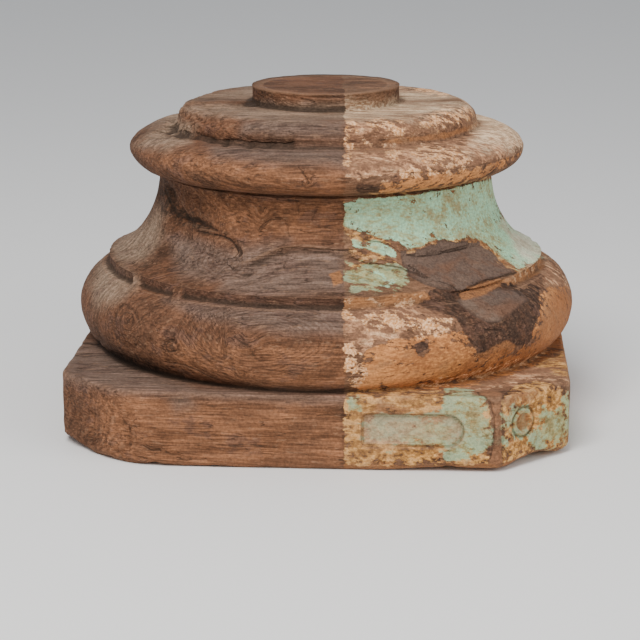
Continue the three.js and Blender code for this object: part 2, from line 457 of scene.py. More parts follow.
def seen_line(seen):
    """Millimetres from every vertex to a line of pixels, with a sign for its side."""
    margin = LINE_REACH * MM / PIXEL
    corners = np.array(seen, float)
    near = np.nonzero(near_pixels(corners, margin) & (front > 0))[0]
    spot = picture[near] + wobble[near]
    best = np.full(len(near), margin)
    for start, end in zip(corners, corners[1:]):
        offset = to_stretch(spot, start, end)
        distance = np.hypot(offset[:, 0], offset[:, 1])
        turn = (end - start)[0] * offset[:, 1] - (end - start)[1] * offset[:, 0]
        best = np.where(distance < np.abs(best), np.copysign(distance, turn), best)
    gap = np.full(count, margin)
    gap[near] = best
    return gap * PIXEL / MM


def seen_ring(ring):
    """Millimetres inside a ring of pixels for every vertex, negative outside it."""
    margin = FAR / PIXEL
    corners = np.array(ring, float)
    near = np.nonzero(near_pixels(corners, margin))[0]
    spot = picture[near]
    best = np.full(len(near), margin)
    for start, end in zip(corners, np.roll(corners, -1, axis=0)):
        offset = to_stretch(spot, start, end)
        best = np.minimum(best, np.hypot(offset[:, 0], offset[:, 1]))
    gap = np.full(count, -FAR / MM)
    gap[near] = np.where(inside_ring(spot, corners), best, -best) * PIXEL / MM
    return gap


def coat(rings_of_pixels):
    """The rings of one coat joined: the largest of their gaps."""
    return np.max([seen_ring(ring) for ring in rings_of_pixels], axis=0)


def keep(name, values):
    """Store one number per vertex where the finish can read it."""
    layer = skin.attributes.new(name, "FLOAT", "POINT")
    layer.data.foreach_set("value", values.astype(np.float32))


print("picture places run from", picture.min(axis=0).round(), "to", picture.max(axis=0).round())

# %% [markdown]
# The carver cut this base by eye with gouges and the years wore it further. The whole skin is a
# little uneven, the left side has lost a few millimetres, and the upright corners of the plinth
# are rubbed round. Wear only takes wood away. So what leaves the surface is added up as a depth
# below it, and what rubs the corners as a distance towards the axis.

# %% Hand-cut unevenness and wear
flat_normals = np.empty(count * 3)
skin.vertex_normals.foreach_get("vector", flat_normals)
normals = flat_normals.reshape(count, 3)
turned = tape > FOOT_TAPE - HAIR
on_underside = height < HAIR
MOULDING_WEAR = 0.9 * MM
PLINTH_WEAR = 0.5 * MM
DENT_WEAR = 0.35 * MM
BIG_ROUND_LOSS = 2.4 * MM
SMALL_ROUND_LOSS = 1.8 * MM
ARRIS_ROUND = 2 * MM
RIB_ROUND = 3.2 * MM
WORN_ROUND = 10 * MM
RIB_SPREAD = 8
WORN_SPREAD = 10
depth = np.where(turned, MOULDING_WEAR, PLINTH_WEAR) * (1 + noise(points, 85 * MM, 11))
depth += DENT_WEAR * (1 + noise(points, 22 * MM, 12))
left_side = band(skin_degrees, -105, -55, 9)
depth += BIG_ROUND_LOSS * left_side * band(skin_mm, 70, 128, 7)
depth += SMALL_ROUND_LOSS * left_side * band(skin_mm, 214, 246, 6)


def worn_arrises():
    """How far the plinth's upright corners are rubbed in towards the axis."""
    nearest, second = np.sort(face_reaches(0), axis=0)[:2]
    to_worn = (skin_degrees + math.degrees(ARRIS)) / WORN_SPREAD
    to_rib = (skin_degrees - math.degrees(ARRIS)) / RIB_SPREAD
    rounding = ARRIS_ROUND + (WORN_ROUND - ARRIS_ROUND) * np.exp(-to_worn * to_worn)
    rounding += (RIB_ROUND - ARRIS_ROUND) * np.exp(-to_rib * to_rib)
    rounding *= 0.9 + 0.5 * noise(points, 30 * MM, 20)
    cut = rounding * np.log1p(np.exp(-(second - nearest) / rounding))
    share = np.clip((ring_radius - BIG_FOOT_RADIUS) / (nearest - BIG_FOOT_RADIUS), 0, 1)
    return np.where(turned, 0, cut * share)


inward = worn_arrises()
print("deepest wear", round(float(inward.max()) / MM, 1), "mm")

# %% [markdown]
# Below the neck the wood has split along its fibres and a slab has come away. Its upper edge is
# an arched step with a smooth flat face under it. To its left a deep crevice hooks down through
# the hollow, and long drying cracks run on from both.

# %% Splits, crevices and cracks
ARCH = [(-24.4, 153), (-17.3, 160), (-13.1, 166), (-8.6, 168), (-2.6, 170), (4.9, 168), (9.3, 165)]
ARCH += [(15, 160), (20.6, 156), (24.8, 153), (29.8, 147)]
ARCH_DEPTH = 3.8 * MM
arch_gap = -signed_gap(ARCH)
arch_reach = band(skin_degrees, -22, 27, 4)
arch_step = smooth(arch_gap, -0.9 * MM, 2.0 * MM) * (1 - smooth(arch_gap, 6 * MM, 27 * MM))
depth += ARCH_DEPTH * arch_reach * arch_step * (arch_gap < FAR - HAIR)

# Lines of pixels, each with its width and depth in millimetres and how dark it is. Most are
# cracks, but the dark of a few is painted shadow: at the foot of the step under the crown, down
# the big round, and under and along the upper broken face on the right
CRACK_AND_SHADOW_LINES = [
    ([(166, 190), (172, 204), (178, 216), (190, 219), (200, 222), (208, 226), (216, 230)], 2.6, 3.2, 0.9),
    ([(198, 231), (210, 233), (222, 236), (232, 240), (236, 246), (238, 252)], 1.7, 3.4, 1.0),
    ([(238, 252), (234, 258), (226, 259), (227, 264), (232, 269), (240, 270), (247, 269)], 1.4, 2.0, 0.7),
    ([(260, 228), (266, 222), (272, 219), (280, 219)], 1.4, 1.4, 0.7),
    ([(280, 249), (290, 248), (300, 246.5), (312, 248), (322, 250), (345, 250), (352, 253)], 1.2, 0.8, 0.75),
    ([(350, 258), (368, 263), (400, 268), (408, 272), (426, 278)], 1.4, 1.4, 0.8),
    ([(366, 239), (385, 244), (394, 248), (399, 252)], 1.4, 1.2, 0.6),
    ([(160, 252), (168, 255), (174, 252)], 1.8, 1.4, 0.6),
    ([(193, 222), (191, 232), (192, 239)], 1.3, 1.0, 0.6),
    # This line and the next: painted shadow band at the foot of the step under the crown
    ([(185, 132), (200, 135), (215, 140), (225, 141)], 2.6, 2.6, 0.7),
    ([(225, 141), (236, 140), (250, 144), (256, 142), (275, 143), (291, 143)], 2.8, 3.2, 0.9),
    ([(300, 168), (305, 175), (308, 183)], 1.3, 1.0, 0.7),
    ([(148, 131), (165, 130), (182, 132)], 1.2, 0.9, 0.5),
    ([(150, 140), (168, 138), (186, 139)], 1.2, 0.8, 0.5),
    # A painted shade line down the big round
    ([(145, 306), (148, 318), (151, 330), (149, 345)], 3.0, 1.3, 0.2),
    ([(112, 322), (116, 336), (123, 345), (131, 350)], 2.4, 1.5, 0.5),
    ([(119, 308), (127, 306), (135, 312), (140, 322), (141, 336), (136, 346)], 2.4, 1.4, 0.35),
    ([(115, 315), (122, 312), (131, 318), (134, 330), (129, 340)], 1.9, 1.1, 0.25),
    ([(168, 343), (172, 340), (178, 344), (177, 351), (171, 352)], 1.8, 1.4, 0.4),
    ([(317, 301), (320, 320), (319, 345), (321, 380)], 1.6, 0.6, 0.15),
    ([(240, 336), (246, 346), (252, 356), (262, 362)], 2.2, 1.2, 0.2),
    ([(230, 354), (232, 366), (235, 376)], 2.4, 1.2, 0.3),
    ([(165, 362), (185, 365), (200, 372), (215, 378)], 1.6, 1.2, 0.6),
    ([(255, 325), (249, 335), (247, 346), (253, 356)], 2.2, 1.0, 0.15),
    ([(186, 308), (190, 325), (186, 345)], 2.0, 0.7, 0.15),
    ([(205, 308), (211, 325), (206, 347)], 2.2, 0.8, 0.15),
    ([(297, 200), (299, 212)], 1.8, 1.0, 0.4),
    ([(320, 203), (314, 212), (312, 218)], 1.8, 1.0, 0.4),
    ([(286, 222), (290, 235)], 1.8, 1.0, 0.35),
    ([(163, 226), (165, 245)], 2.2, 1.2, 0.35),
    ([(158, 243), (175, 255), (195, 262), (215, 266)], 4.0, 1.3, 0.1),
    ([(150, 262), (170, 268), (200, 280), (230, 287)], 4.0, 1.3, 0.1),
    ([(180, 236), (196, 246), (210, 256), (222, 262)], 3.5, 1.5, 0.15),
    ([(240, 272), (262, 262), (285, 255)], 3.5, 1.3, 0.1),
    ([(200, 288), (240, 291), (290, 290), (340, 291)], 3.0, 0.8, 0.1),
    ([(478, 393), (486, 397), (492, 405), (494, 420), (494, 440), (490, 458)], 1.6, 1.4, 0.55),
    ([(510, 390), (504, 397), (502, 410), (503, 430), (503, 460)], 1.5, 1.2, 0.5),
    ([(79, 344), (90, 343.5), (98, 344)], 1.6, 1.6, 1.0),
    ([(69, 356), (80, 355), (92, 354)], 1.3, 1.0, 0.7),
    ([(66, 369), (84, 368), (118, 367)], 1.2, 0.7, 0.5),
    ([(144, 446), (151, 450), (160, 450)], 1.8, 1.2, 0.8),
    ([(166, 452), (172, 455), (180, 455)], 1.8, 1.0, 0.6),
    ([(178, 459), (192, 460), (206, 460)], 1.1, 0.9, 0.8),
    ([(98, 388), (104, 398), (111, 412), (116, 426)], 2.2, 1.4, 0.4),
    ([(318, 416), (335, 415), (348, 417)], 1.2, 0.9, 0.7),
    ([(506, 350), (504, 358), (499, 366)], 1.6, 1.0, 0.5),
    ([(509, 284), (515, 290), (520, 295)], 1.2, 0.9, 0.8),
    # Painted shadow under the overhang of the upper broken face
    ([(459, 294), (469, 287.5), (485, 281.5), (500, 277.5), (514, 273.5)], 1.8, 1.6, 1.0),
    # Painted shadow along the top edge of the upper broken face
    ([(407, 255), (420, 256), (435, 255.5), (450, 252), (466, 248)], 1.1, 1.0, 0.9),
    ([(408, 267), (418, 272), (427, 277)], 1.1, 0.8, 0.8),
    ([(440, 281), (449, 284), (457, 290)], 1.0, 0.7, 0.7),
    ([(485, 329.5), (492, 330), (501, 329)], 1.1, 0.8, 0.9),
    ([(384, 171), (420, 173), (455, 170), (490, 163), (518, 156)], 1.1, 0.7, 0.45),
]
unsteady = front * (0.8 + 0.6 * noise(points, 12 * MM, 37))
for seen, width, deep, darkness in CRACK_AND_SHADOW_LINES:
    crack_gap = seen_line(seen) / width
    depth += deep * MM * np.exp(-crack_gap * crack_gap) * unsteady

FOOT_CREVICE = [(-62, 66), (-48.1, 72), (-43.7, 70), (-30.4, 68), (-31, 64), (-60, 64)]
FOOT_CREVICE_DEPTH = 2.5 * MM
BLACK_POCKET = [(-51, 71), (-43.5, 71), (-43, 66), (-50, 66)]
BLACK_POCKET_DEPTH = 3 * MM
DIP = [(164, 198), (215, 228), (234, 256), (216, 278), (180, 276), (160, 264), (156, 248), (163, 225)]
DIP_DEPTH = 3.2 * MM
WAVE_DEPTH = 1.6 * MM
ALONG_FIBRES = np.array([0.5, 1, 1])
depth += FOOT_CREVICE_DEPTH * smooth(patch(FOOT_CREVICE), -2 * MM, 2 * MM)
depth += BLACK_POCKET_DEPTH * smooth(patch(BLACK_POCKET), -2 * MM, 2 * MM)
depth += DIP_DEPTH * smooth(seen_ring(DIP), -2, 10)
waves = noise(points * ALONG_FIBRES, 26 * MM, 34)
rough_hollow = band(skin_degrees, -75, 6, 8) * band(skin_mm, 142, 205, 7)
depth += WAVE_DEPTH * rough_hollow * (1 + waves)
print("deepest split so far", round(float(depth.max()) / MM, 1), "mm")

# %% [markdown]
# The thin flange above the big round is end grain and easily lost. Its wall stands upright over a
# shallow channel, its edge is chipped all along, and on the left two pieces of it are gone. The
# upper left end of the crown has gone crumbly with rot. The plinth's lower edge has lost chips
# too. Their undersides are cut upwards, so this loss is kept apart, as a lift.

# %% Chipped flange and crumbled ends
FLANGE_UNDERCUT = 4.4 * MM
FLANGE_CHANNEL = 2.2 * MM
FLANGE_FOOT_MM = 130.2
FLANGE_HEAD_MM = 138.5
FLANGE_FADE_MM = 7
LOST_PIECES = [
    [(129.5, 260), (136.5, 260), (138, 291), (130.5, 291)],
    [(170.5, 274), (179.5, 274), (179.5, 306), (170.5, 306)],
]
LOST_PIECE_DEPTH = 1.6 * MM
EDGE_CHIP_DEPTH = 1.4 * MM
BOTTOM_CHIP_LIFT = 4.5 * MM
CORNER_LIFT = 3 * MM
MOST_LIFT = 7.5 * MM
flange_wall = turned * np.clip((FLANGE_HEAD_MM - skin_mm) / FLANGE_FADE_MM, 0, 1)
flange_wall *= skin_mm > FLANGE_FOOT_MM
gaps = smooth(coat(LOST_PIECES), -0.8, 0.8) * front
inward += FLANGE_UNDERCUT * flange_wall * (0.9 + 0.25 * noise(points, 20 * MM, 30)) * (1 - gaps)
depth += LOST_PIECE_DEPTH * band(skin_mm, 134, 141, 2.5) * gaps
edge_chips = smooth(noise(points, 14 * MM, 31), 0.05, 0.5)
depth += EDGE_CHIP_DEPTH * band(skin_mm, 135, 140, 1.5) * edge_chips
bottom_chips = smooth(noise(points, 38 * MM, 35, 4), -0.1, 0.7)
lift = BOTTOM_CHIP_LIFT * bottom_chips * (1 - smooth(height, 0, 16 * MM)) * ~turned
corner_wear = band(skin_degrees, 20, 62, 6) + band(skin_degrees, 40.5, 50, 2)
lift += CORNER_LIFT * corner_wear * (1 - smooth(height, 0, 22 * MM)) * ~turned
lift = np.minimum(lift, MOST_LIFT) * smooth(ring_radius, 190 * MM, 204 * MM)
lift -= FLANGE_CHANNEL * smooth(skin_mm, 117, 130) * (skin_mm < 132) * turned * (1 - gaps)

# Rotten places: a mask, the loss, its change and the size of a crumb in mm, a seed and octaves
CROWN_END = [(-85, 250), (-85, 268), (-60, 268), (-49, 262), (-48, 251), (-58, 246), (-73, 245)]
CROWN_CHUNK = [(158, 112), (172, 104), (190, 103), (200, 112), (198, 130), (180, 133), (166, 129)]
GOUGED_CORNER = [(70, 412), (100, 410), (122, 416), (126, 448), (112, 458), (78, 444)]
SOOT_HOLLOW = [(-66, 200), (-52, 205), (-36, 196), (-32, 177), (-47, 180), (-58, 168)]
ROTTEN = [
    (smooth(patch(CROWN_END) / MM, -3, 3), 2.2, 3.4, 11, 32, 4),
    (smooth(seen_ring(CROWN_CHUNK), -3, 4), 2.5, 5.0, 8, 38, 3),
    (smooth(seen_ring(GOUGED_CORNER), -3, 4), 2.2, 4.6, 13, 36, 3),
    (smooth(patch(SOOT_HOLLOW) / MM, -4, 4), 1.8, 3.4, 13, 33, 4),
]
for inside, loss, change, crumb, seed, octaves in ROTTEN:
    depth += MM * inside * (loss + change * noise(points, crumb * MM, seed, octaves))
print("the lower edge is chipped up to", round(float(lift.max()) / MM, 1), "mm")

# %% [markdown]
# The log was laid with its fibres running from left to right, so every surface cuts across the
# yearly growth rings and shows them as contour lines. The rings lie round the heart of the log
# and bend round each knot. The bend is worked out once, in millimetres, because the finish needs
# it too, to make its fibres flow round the knots. The soft wood has weathered back a little.

# %% Growth rings and knots
HEART = np.array([10 * MM, 97 * MM])
LOG_STRETCH = np.array([0.35, 1, 1])
BROAD_BEND = 7
FINE_BEND = 1.6
COMB = [(-30, 127), (-20, 127), (-18.5, 92), (-30, 92)]
COMB_SLOPE = 3.2
RIDGE_SPACING = 6.5
RIDGE_DEPTH = 0.22 * MM
TORN_DEPTH = 0.3 * MM
DOT_LENGTH = 0.1

# Knots by azimuth and height, with their reach and how far they push the fibres aside in mm
KNOTS = [
    ((-45.2, 106), 9, 17),
    ((-30, 90), 5, 8),
    ((-15, 74), 8, 9),
    ((-13, 108), 9, 8),
    ((-0.8, 224), 4, 5),
    ((-18, 192), 7, 8),
    ((-33, 168), 9, 9),
]


def fibre_bend():
    """How far the fibres stray from straight lines along the log, in millimetres."""
    along = points * LOG_STRETCH
    bend = BROAD_BEND * noise(along, 80 * MM, 41) + FINE_BEND * noise(along, 24 * MM, 42)
    for place, reach, swell in KNOTS:
        gap = signed_gap([place, (place[0] + DOT_LENGTH, place[1])]) / (reach * MM)
        bend += swell * np.exp(-gap * gap)
    comb = smooth(patch(COMB), -6 * MM, 4 * MM)
    return bend + COMB_SLOPE * comb * (skin_degrees - COMB[0][0])


bend = fibre_bend()
rings = np.hypot(points[:, 1] - HEART[0], points[:, 2] - HEART[1]) / MM + bend
ridge = 0.5 + 0.5 * np.sin(rings * 2 * math.pi / RIDGE_SPACING)
depth += RIDGE_DEPTH * ridge * smooth(noise(points, 40 * MM, 43), -0.5, 0.4)
depth += TORN_DEPTH * (1 + noise(points * ALONG_FIBRES, 9 * MM, 44, 2))
print("growth rings from", round(float(rings.min())), "to", round(float(rings.max())), "mm")

# %% [markdown]
# The right half keeps its carved ornament: a sunk panel on the front, square at one end and round
# at the other, and a ringed button on the cut corner. Both were cut with a gouge, so their walls
# slope a little.

# %% Panel and button
PANEL_LEFT = 42 * MM
PANEL_RIGHT = 122 * MM
PANEL_LOW = 21 * MM
PANEL_HIGH = 47 * MM
PANEL_CORNER = 4 * MM
PANEL_DEPTH = 3.4 * MM
BUTTON_SIDE = -13 * MM
BUTTON_HEIGHT = 37 * MM
BUTTON_RADIUS = 12.3 * MM
BUTTON_GROOVE = 1.6 * MM
BUTTON_DEPTH = 2.2 * MM
FACE_SLACK = 1 * MM


def panel_gap():
    """Metres inside the panel's outline, negative outside it."""
    half = (PANEL_HIGH - PANEL_LOW) / 2
    corner = np.where(points[:, 0] < (PANEL_LEFT + PANEL_RIGHT) / 2, PANEL_CORNER, half)
    across = np.maximum(PANEL_LEFT + corner - points[:, 0], points[:, 0] - PANEL_RIGHT + corner)
    upward = np.abs(points[:, 2] - PANEL_LOW - half) - half + corner
    outside = np.hypot(np.maximum(across, 0), np.maximum(upward, 0))
    gap = corner - outside - np.minimum(np.maximum(across, upward), 0)
    return np.where(points[:, 1] < FACE_SLACK - HALF_WIDTH, gap, -FAR)


def button_gap():
    """Metres from the button's centre along the cut corner's face."""
    diagonal = math.sqrt(0.5)
    side = (points[:, 0] + points[:, 1]) * diagonal - BUTTON_SIDE
    out = (points[:, 0] - points[:, 1]) * diagonal
    gap = np.hypot(side, points[:, 2] - BUTTON_HEIGHT)
    return np.where(out > CORNER_FACE - FACE_SLACK, gap, FAR)


panel = panel_gap()
button = button_gap()
to_groove = (button - BUTTON_RADIUS) / BUTTON_GROOVE
depth += PANEL_DEPTH * smooth(panel, -0.8 * MM, 1.2 * MM)
depth += BUTTON_DEPTH * np.exp(-to_groove * to_groove)
depth += BUTTON_DEPTH * (1 - smooth(button, 6.5 * MM, 9 * MM))
print("the panel covers", int((panel > 0).sum()), "vertices")
print("the button covers", int((button < BUTTON_RADIUS).sum()), "vertices")

# %% [markdown]
# Knocks have split three flat faces off the right side: a large one that crosses the foot of the
# hollow and the flange, and smaller ones on the shoulder of the big round. A flat face is made by
# pressing back onto its plane whatever stands beyond it, with a little roughness left in. On the
# left and the right, the lowest corner between the plinth's side and its cut corner is worn the
# same way. Before that, everything gathered so far is taken off the skin: the depth, what was
# rubbed towards the axis and the lift.

# %% Broken faces
LEVEL = np.array([1, 1, 0])
ARRIS_RADIUS = math.hypot(HALF_WIDTH, HALF_WIDTH - CORNER_CUT)
LOWER_CORNERS = {-1: 9 * MM, 1: 4 * MM}
CREVICE_DEPTH = 5 * MM
AXIS_GUARD = 1 * MM


def bearing(degrees):
    turn = math.radians(degrees)
    return np.array([math.sin(turn), -math.cos(turn), 0])


def press_flat(degrees, radius, rise, lean, deep, half_width, below, above, roughness):
    """Press vertices back to a leaning plane that lies `deep` below a place on the skin."""
    tilt = math.radians(lean)
    out = bearing(degrees) * math.cos(tilt) + np.array([0, 0, math.sin(tilt)])
    across = bearing(degrees + 90)
    up_slope = np.cross(out, across)
    offset = points - bearing(degrees) * radius - np.array([0, 0, rise])
    beyond = offset @ out + deep + roughness * noise(points, 20 * MM, 51, 4)
    within = (np.abs(offset @ across) < half_width) & (offset @ up_slope > -below)
    within &= (offset @ up_slope < above) & (beyond > 0)
    points[within] -= beyond[within, None] * out
    return within


depth[on_underside] = 0
points -= normals * depth[:, None]
points[:, :2] *= (1 - inward / np.maximum(ring_radius, AXIS_GUARD))[:, None]
points[:, 2] += lift
hollow_break = press_flat(
    degrees=44.5, radius=FLANGE_TOP_RADIUS, rise=FLANGE_TOP, lean=51, deep=7.6 * MM,
    half_width=56 * MM, below=20 * MM, above=43 * MM, roughness=0.5 * MM,
)
round_break = press_flat(
    degrees=42, radius=BIG_ROUND_RADIUS - 14 * MM, rise=PLINTH_HEIGHT + 60 * MM, lean=44, deep=3 * MM,
    half_width=32 * MM, below=24 * MM, above=24 * MM, roughness=0.4 * MM,
)
lower_break = press_flat(
    degrees=36, radius=BIG_ROUND_RADIUS - 3.5 * MM, rise=PLINTH_HEIGHT + 46 * MM, lean=24, deep=2.6 * MM,
    half_width=22 * MM, below=17 * MM, above=16 * MM, roughness=0.4 * MM,
)
for hand, deep in LOWER_CORNERS.items():
    press_flat(
        degrees=hand * (90 - math.degrees(ARRIS)), radius=ARRIS_RADIUS, rise=0, lean=-45, deep=deep,
        half_width=60 * MM, below=30 * MM, above=30 * MM, roughness=0.8 * MM,
    )
points[:, 2] = np.maximum(points[:, 2], 0)

# The crevice under the large face, cut in without going up or down
crevice = band(skin_degrees, 37, 56.5, 1.5) * band(points[:, 2] / MM, 129.5, 135.5, 1.2)
points -= normals * LEVEL * (CREVICE_DEPTH * crevice)[:, None]
for name, broken in (("hollow", hollow_break), ("round", round_break), ("lower", lower_break)):
    print("the break", name, "holds", int(broken.sum()), "vertices")

# %% [markdown]
# So far the moves were only numbers. Now the mesh gets its new places, all at once. Its faces stay
# joined as they were, so the skin is still closed.

# %% Put the relief on the skin
skin.vertices.foreach_set("co", points.ravel())
skin.update()
print("skin now spans", [round(float(v), 4) for v in np.ptp(points, axis=0)])

# %% [markdown]
# Under everything on the right lies bare brown wood. Over thin rests of a first paint came a
# smooth tan coat, a pinkish cream, a yellow ochre and, last, turquoise, which has worn to green in
# places. Each has flaked in its own way, so each keeps its own rings. A dark stain and the broken
# faces have lost nearly all of them, and knocks and the lowest edge show fresh wood.

# %% Coats of paint
TAN = [
    [(356, 396), (362, 362), (366, 352), (380, 345), (392, 340), (405, 338), (430, 336), (452, 332),
     (463, 331), (470, 343), (480, 358), (488, 358), (500, 347), (508, 352), (522, 348), (530, 342),
     (533, 332), (541, 313), (538, 297), (548, 288), (566, 286), (577, 300), (577, 330), (570, 342),
     (545, 362), (505, 376), (470, 386), (420, 393)],
    [(380, 184), (392, 182), (400, 177), (420, 175), (440, 171), (460, 170), (480, 167), (500, 161),
     (522, 152), (505, 167), (480, 177), (450, 185), (420, 190), (381, 193)],
]
CREAM = [
    [(362, 320), (370, 317), (378, 316), (383, 308), (395, 307), (405, 309), (418, 320), (435, 317),
     (450, 319), (453, 328), (438, 336), (428, 333), (420, 337), (404, 331), (386, 330), (366, 329)],
    [(338, 340), (345, 336), (352, 338), (358, 346), (362, 362), (366, 372), (362, 381), (356, 388),
     (351, 386), (350, 378), (341, 362), (339, 350)],
    [(341, 120), (350, 119), (356, 124), (356, 136), (352, 140), (354, 149), (350, 151), (342, 134)],
    [(366, 124), (372, 120), (382, 118), (404, 121), (405, 134), (400, 138), (393, 133), (376, 130)],
    [(418, 128), (422, 121), (432, 114), (445, 108), (470, 106), (474, 116), (460, 123), (448, 120),
     (440, 130), (426, 128)],
    [(384, 155), (390, 151), (398, 150), (403, 158), (396, 160)],
    [(400, 178), (400, 172), (414, 165), (422, 165), (440, 168), (472, 167), (455, 172), (412, 177)],
    [(412, 152), (425, 148), (445, 146), (470, 152), (472, 160), (465, 167), (430, 164), (420, 156)],
    [(343, 152), (350, 150), (352, 160), (347, 169), (344, 164)],
    [(360, 146), (366, 143), (369, 147), (366, 152), (361, 150)],
    [(341, 312), (348, 309), (360, 313), (352, 320), (344, 318)],
    [(362, 308), (378, 310), (376, 316), (364, 315)],
    [(384, 307), (400, 303), (412, 303), (400, 307)],
    [(416, 385), (450, 378), (490, 369), (530, 358), (545, 353), (530, 361), (480, 377), (440, 385)],
]
OCHRE = [
    [(346, 396), (352, 391), (380, 390), (410, 390), (445, 391), (470, 393), (484, 400), (490, 415),
     (491, 440), (488, 464), (440, 464), (386, 466), (345, 465), (342, 450), (346, 435), (342, 425)],
    [(503, 398), (510, 390), (522, 384), (537, 381), (552, 383), (562, 389), (572, 396), (573, 440),
     (566, 449), (545, 452), (520, 456), (503, 462), (502, 430)],
    [(349, 202), (358, 203), (359, 210), (353, 217), (349, 214)],
    [(343, 228), (352, 231), (366, 234), (380, 238), (400, 246), (398, 250), (384, 245), (352, 240)],
    [(407, 228), (422, 228), (424, 233), (418, 240), (413, 238), (408, 233)],
    [(432, 224), (440, 224), (440, 230), (433, 230)],
    [(352, 251), (366, 254), (398, 259), (398, 264), (380, 263), (362, 261), (352, 258)],
    [(486, 240), (500, 253), (510, 261), (518, 269), (514, 272), (504, 264), (494, 255), (487, 247)],
    [(450, 238), (458, 235), (467, 238), (470, 243), (462, 247), (452, 246)],
    [(350, 266), (366, 263), (374, 274), (366, 284), (352, 280)],
    [(536, 366), (560, 352), (574, 345), (574, 378), (560, 375), (548, 368)],
]
TURQUOISE = [
    [(341, 212), (344, 205), (352, 200), (380, 198), (420, 194), (460, 187), (495, 178), (497, 205),
     (503, 218), (515, 226), (530, 233), (542, 243), (549, 252), (540, 260), (528, 264), (518, 270),
     (508, 262), (498, 254), (482, 240), (470, 238), (455, 239), (432, 240), (418, 247), (408, 249),
     (400, 243), (378, 237), (354, 230), (345, 226)],
    [(352, 240), (364, 243), (372, 240), (384, 243), (400, 252), (396, 258), (370, 250), (352, 248)],
    [(360, 266), (384, 267), (394, 271), (400, 280), (388, 288), (370, 284), (366, 275)],
]
GREEN = [
    [(346, 262), (362, 261), (380, 264), (396, 265), (405, 270), (404, 278), (410, 285), (400, 289),
     (385, 291), (353, 289), (345, 275)],
    [(445, 391), (460, 389), (472, 393), (484, 399), (489, 412), (491, 430), (490, 446), (482, 450),
     (476, 456), (462, 458), (447, 458), (446, 450), (430, 448), (392, 450), (386, 455), (382, 448),
     (366, 446), (361, 438), (360, 424), (366, 417), (443, 415)],
    [(348, 398), (357, 396), (364, 403), (362, 412), (350, 414)],
    [(530, 412), (540, 405), (552, 408), (560, 398), (571, 395), (573, 420), (572, 440), (564, 448),
     (534, 449), (526, 444), (536, 427)],
    [(510, 415), (516, 407), (527, 406), (534, 414), (533, 430), (525, 440), (514, 438), (509, 428)],
    [(501, 412), (506, 420), (507, 445), (503, 455), (501, 440)],
]
STAIN = [
    [(408, 312), (415, 306), (425, 300), (428, 288), (445, 286), (480, 282), (510, 280), (530, 284),
     (541, 287), (540, 297), (542, 305), (537, 322), (530, 344), (518, 348), (506, 342), (494, 352),
     (487, 358), (480, 357), (472, 345), (463, 331), (456, 325), (452, 318), (425, 318)],
    [(414, 344), (420, 340), (430, 342), (428, 350), (421, 357), (416, 352)],
    [(355, 184), (380, 184), (380, 193), (357, 193)],
    [(413, 120), (420, 113), (432, 110), (446, 106), (450, 112), (440, 117), (425, 121)],
    [(470, 163), (478, 157), (490, 152), (505, 146), (520, 142), (525, 148), (515, 156), (485, 164)],
    [(393, 170), (399, 171), (399, 177), (396, 183), (393, 180)],
    [(378, 456), (386, 458), (397, 464), (385, 468), (376, 460)],
]
RIB = [
    [(478, 394), (484, 396), (490, 403), (493, 415), (494, 432), (492, 452), (488, 464), (503, 467),
     (502, 440), (500, 410), (503, 396), (500, 391), (486, 390)],
]
GROUND = [
    [(341, 120), (345, 118), (400, 116), (440, 110), (480, 106), (486, 118), (470, 125), (440, 132),
     (400, 137), (345, 141)],
    [(342, 143), (400, 144), (460, 138), (484, 124), (520, 128), (527, 145), (515, 160), (480, 171),
     (440, 173), (400, 180), (382, 183), (344, 180)],
    [(340, 306), (380, 303), (412, 302), (430, 312), (455, 318), (463, 331), (440, 339), (400, 342),
     (362, 354), (340, 352)],
    [(400, 389), (450, 379), (500, 367), (545, 355), (574, 345), (574, 386), (540, 381), (510, 388),
     (470, 393), (420, 390)],
    [(540, 262), (556, 262), (574, 284), (578, 300), (560, 300), (545, 288)],
]
FACET = [
    [(400, 251), (414, 250), (424, 248), (440, 240), (462, 241), (480, 240), (487, 246), (500, 257),
     (512, 266), (516, 271), (500, 277), (478, 283), (462, 291), (440, 289), (425, 285), (410, 277),
     (402, 264)],
    [(455, 300), (480, 292), (500, 288), (520, 291), (530, 300), (515, 310), (500, 322), (485, 322),
     (472, 315)],
]
FRESH = [
    [(350, 297), (375, 298), (400, 293), (425, 290), (430, 298), (400, 303), (360, 304)],
    [(458, 292), (480, 283), (500, 277), (504, 284), (482, 294), (462, 301)],
    [(517, 271), (530, 267), (546, 256), (548, 264), (535, 276), (520, 281)],
    [(378, 142), (400, 138), (430, 135), (450, 131), (470, 125), (483, 119), (485, 124), (450, 138),
     (420, 141), (395, 144)],
    [(476, 356), (487, 351), (497, 345), (507, 341), (517, 346), (510, 353), (490, 361)],
    [(330, 274), (340, 270), (343, 283), (333, 287)],
    [(345, 464), (400, 466), (488, 464), (505, 460), (520, 454), (560, 449), (568, 440), (571, 396),
     (580, 396), (580, 460), (500, 480), (345, 478)],
]
DEEP = [
    [(500, 362), (520, 353), (546, 334), (546, 300), (562, 284), (582, 290), (582, 350), (530, 366),
     (505, 372)],
    [(500, 349), (520, 348), (534, 332), (542, 312), (556, 318), (548, 345), (520, 360), (500, 362)],
]
PAINT_LINE = 15 * MM
PAINT_LINE_STRAY = 3.6
FRINGE_WIDTH = 2.5
picture = picture_places()
stain, facet, rib = coat(STAIN), coat(FACET), coat(RIB)
paint_line = (points @ to_right - PAINT_LINE) / MM

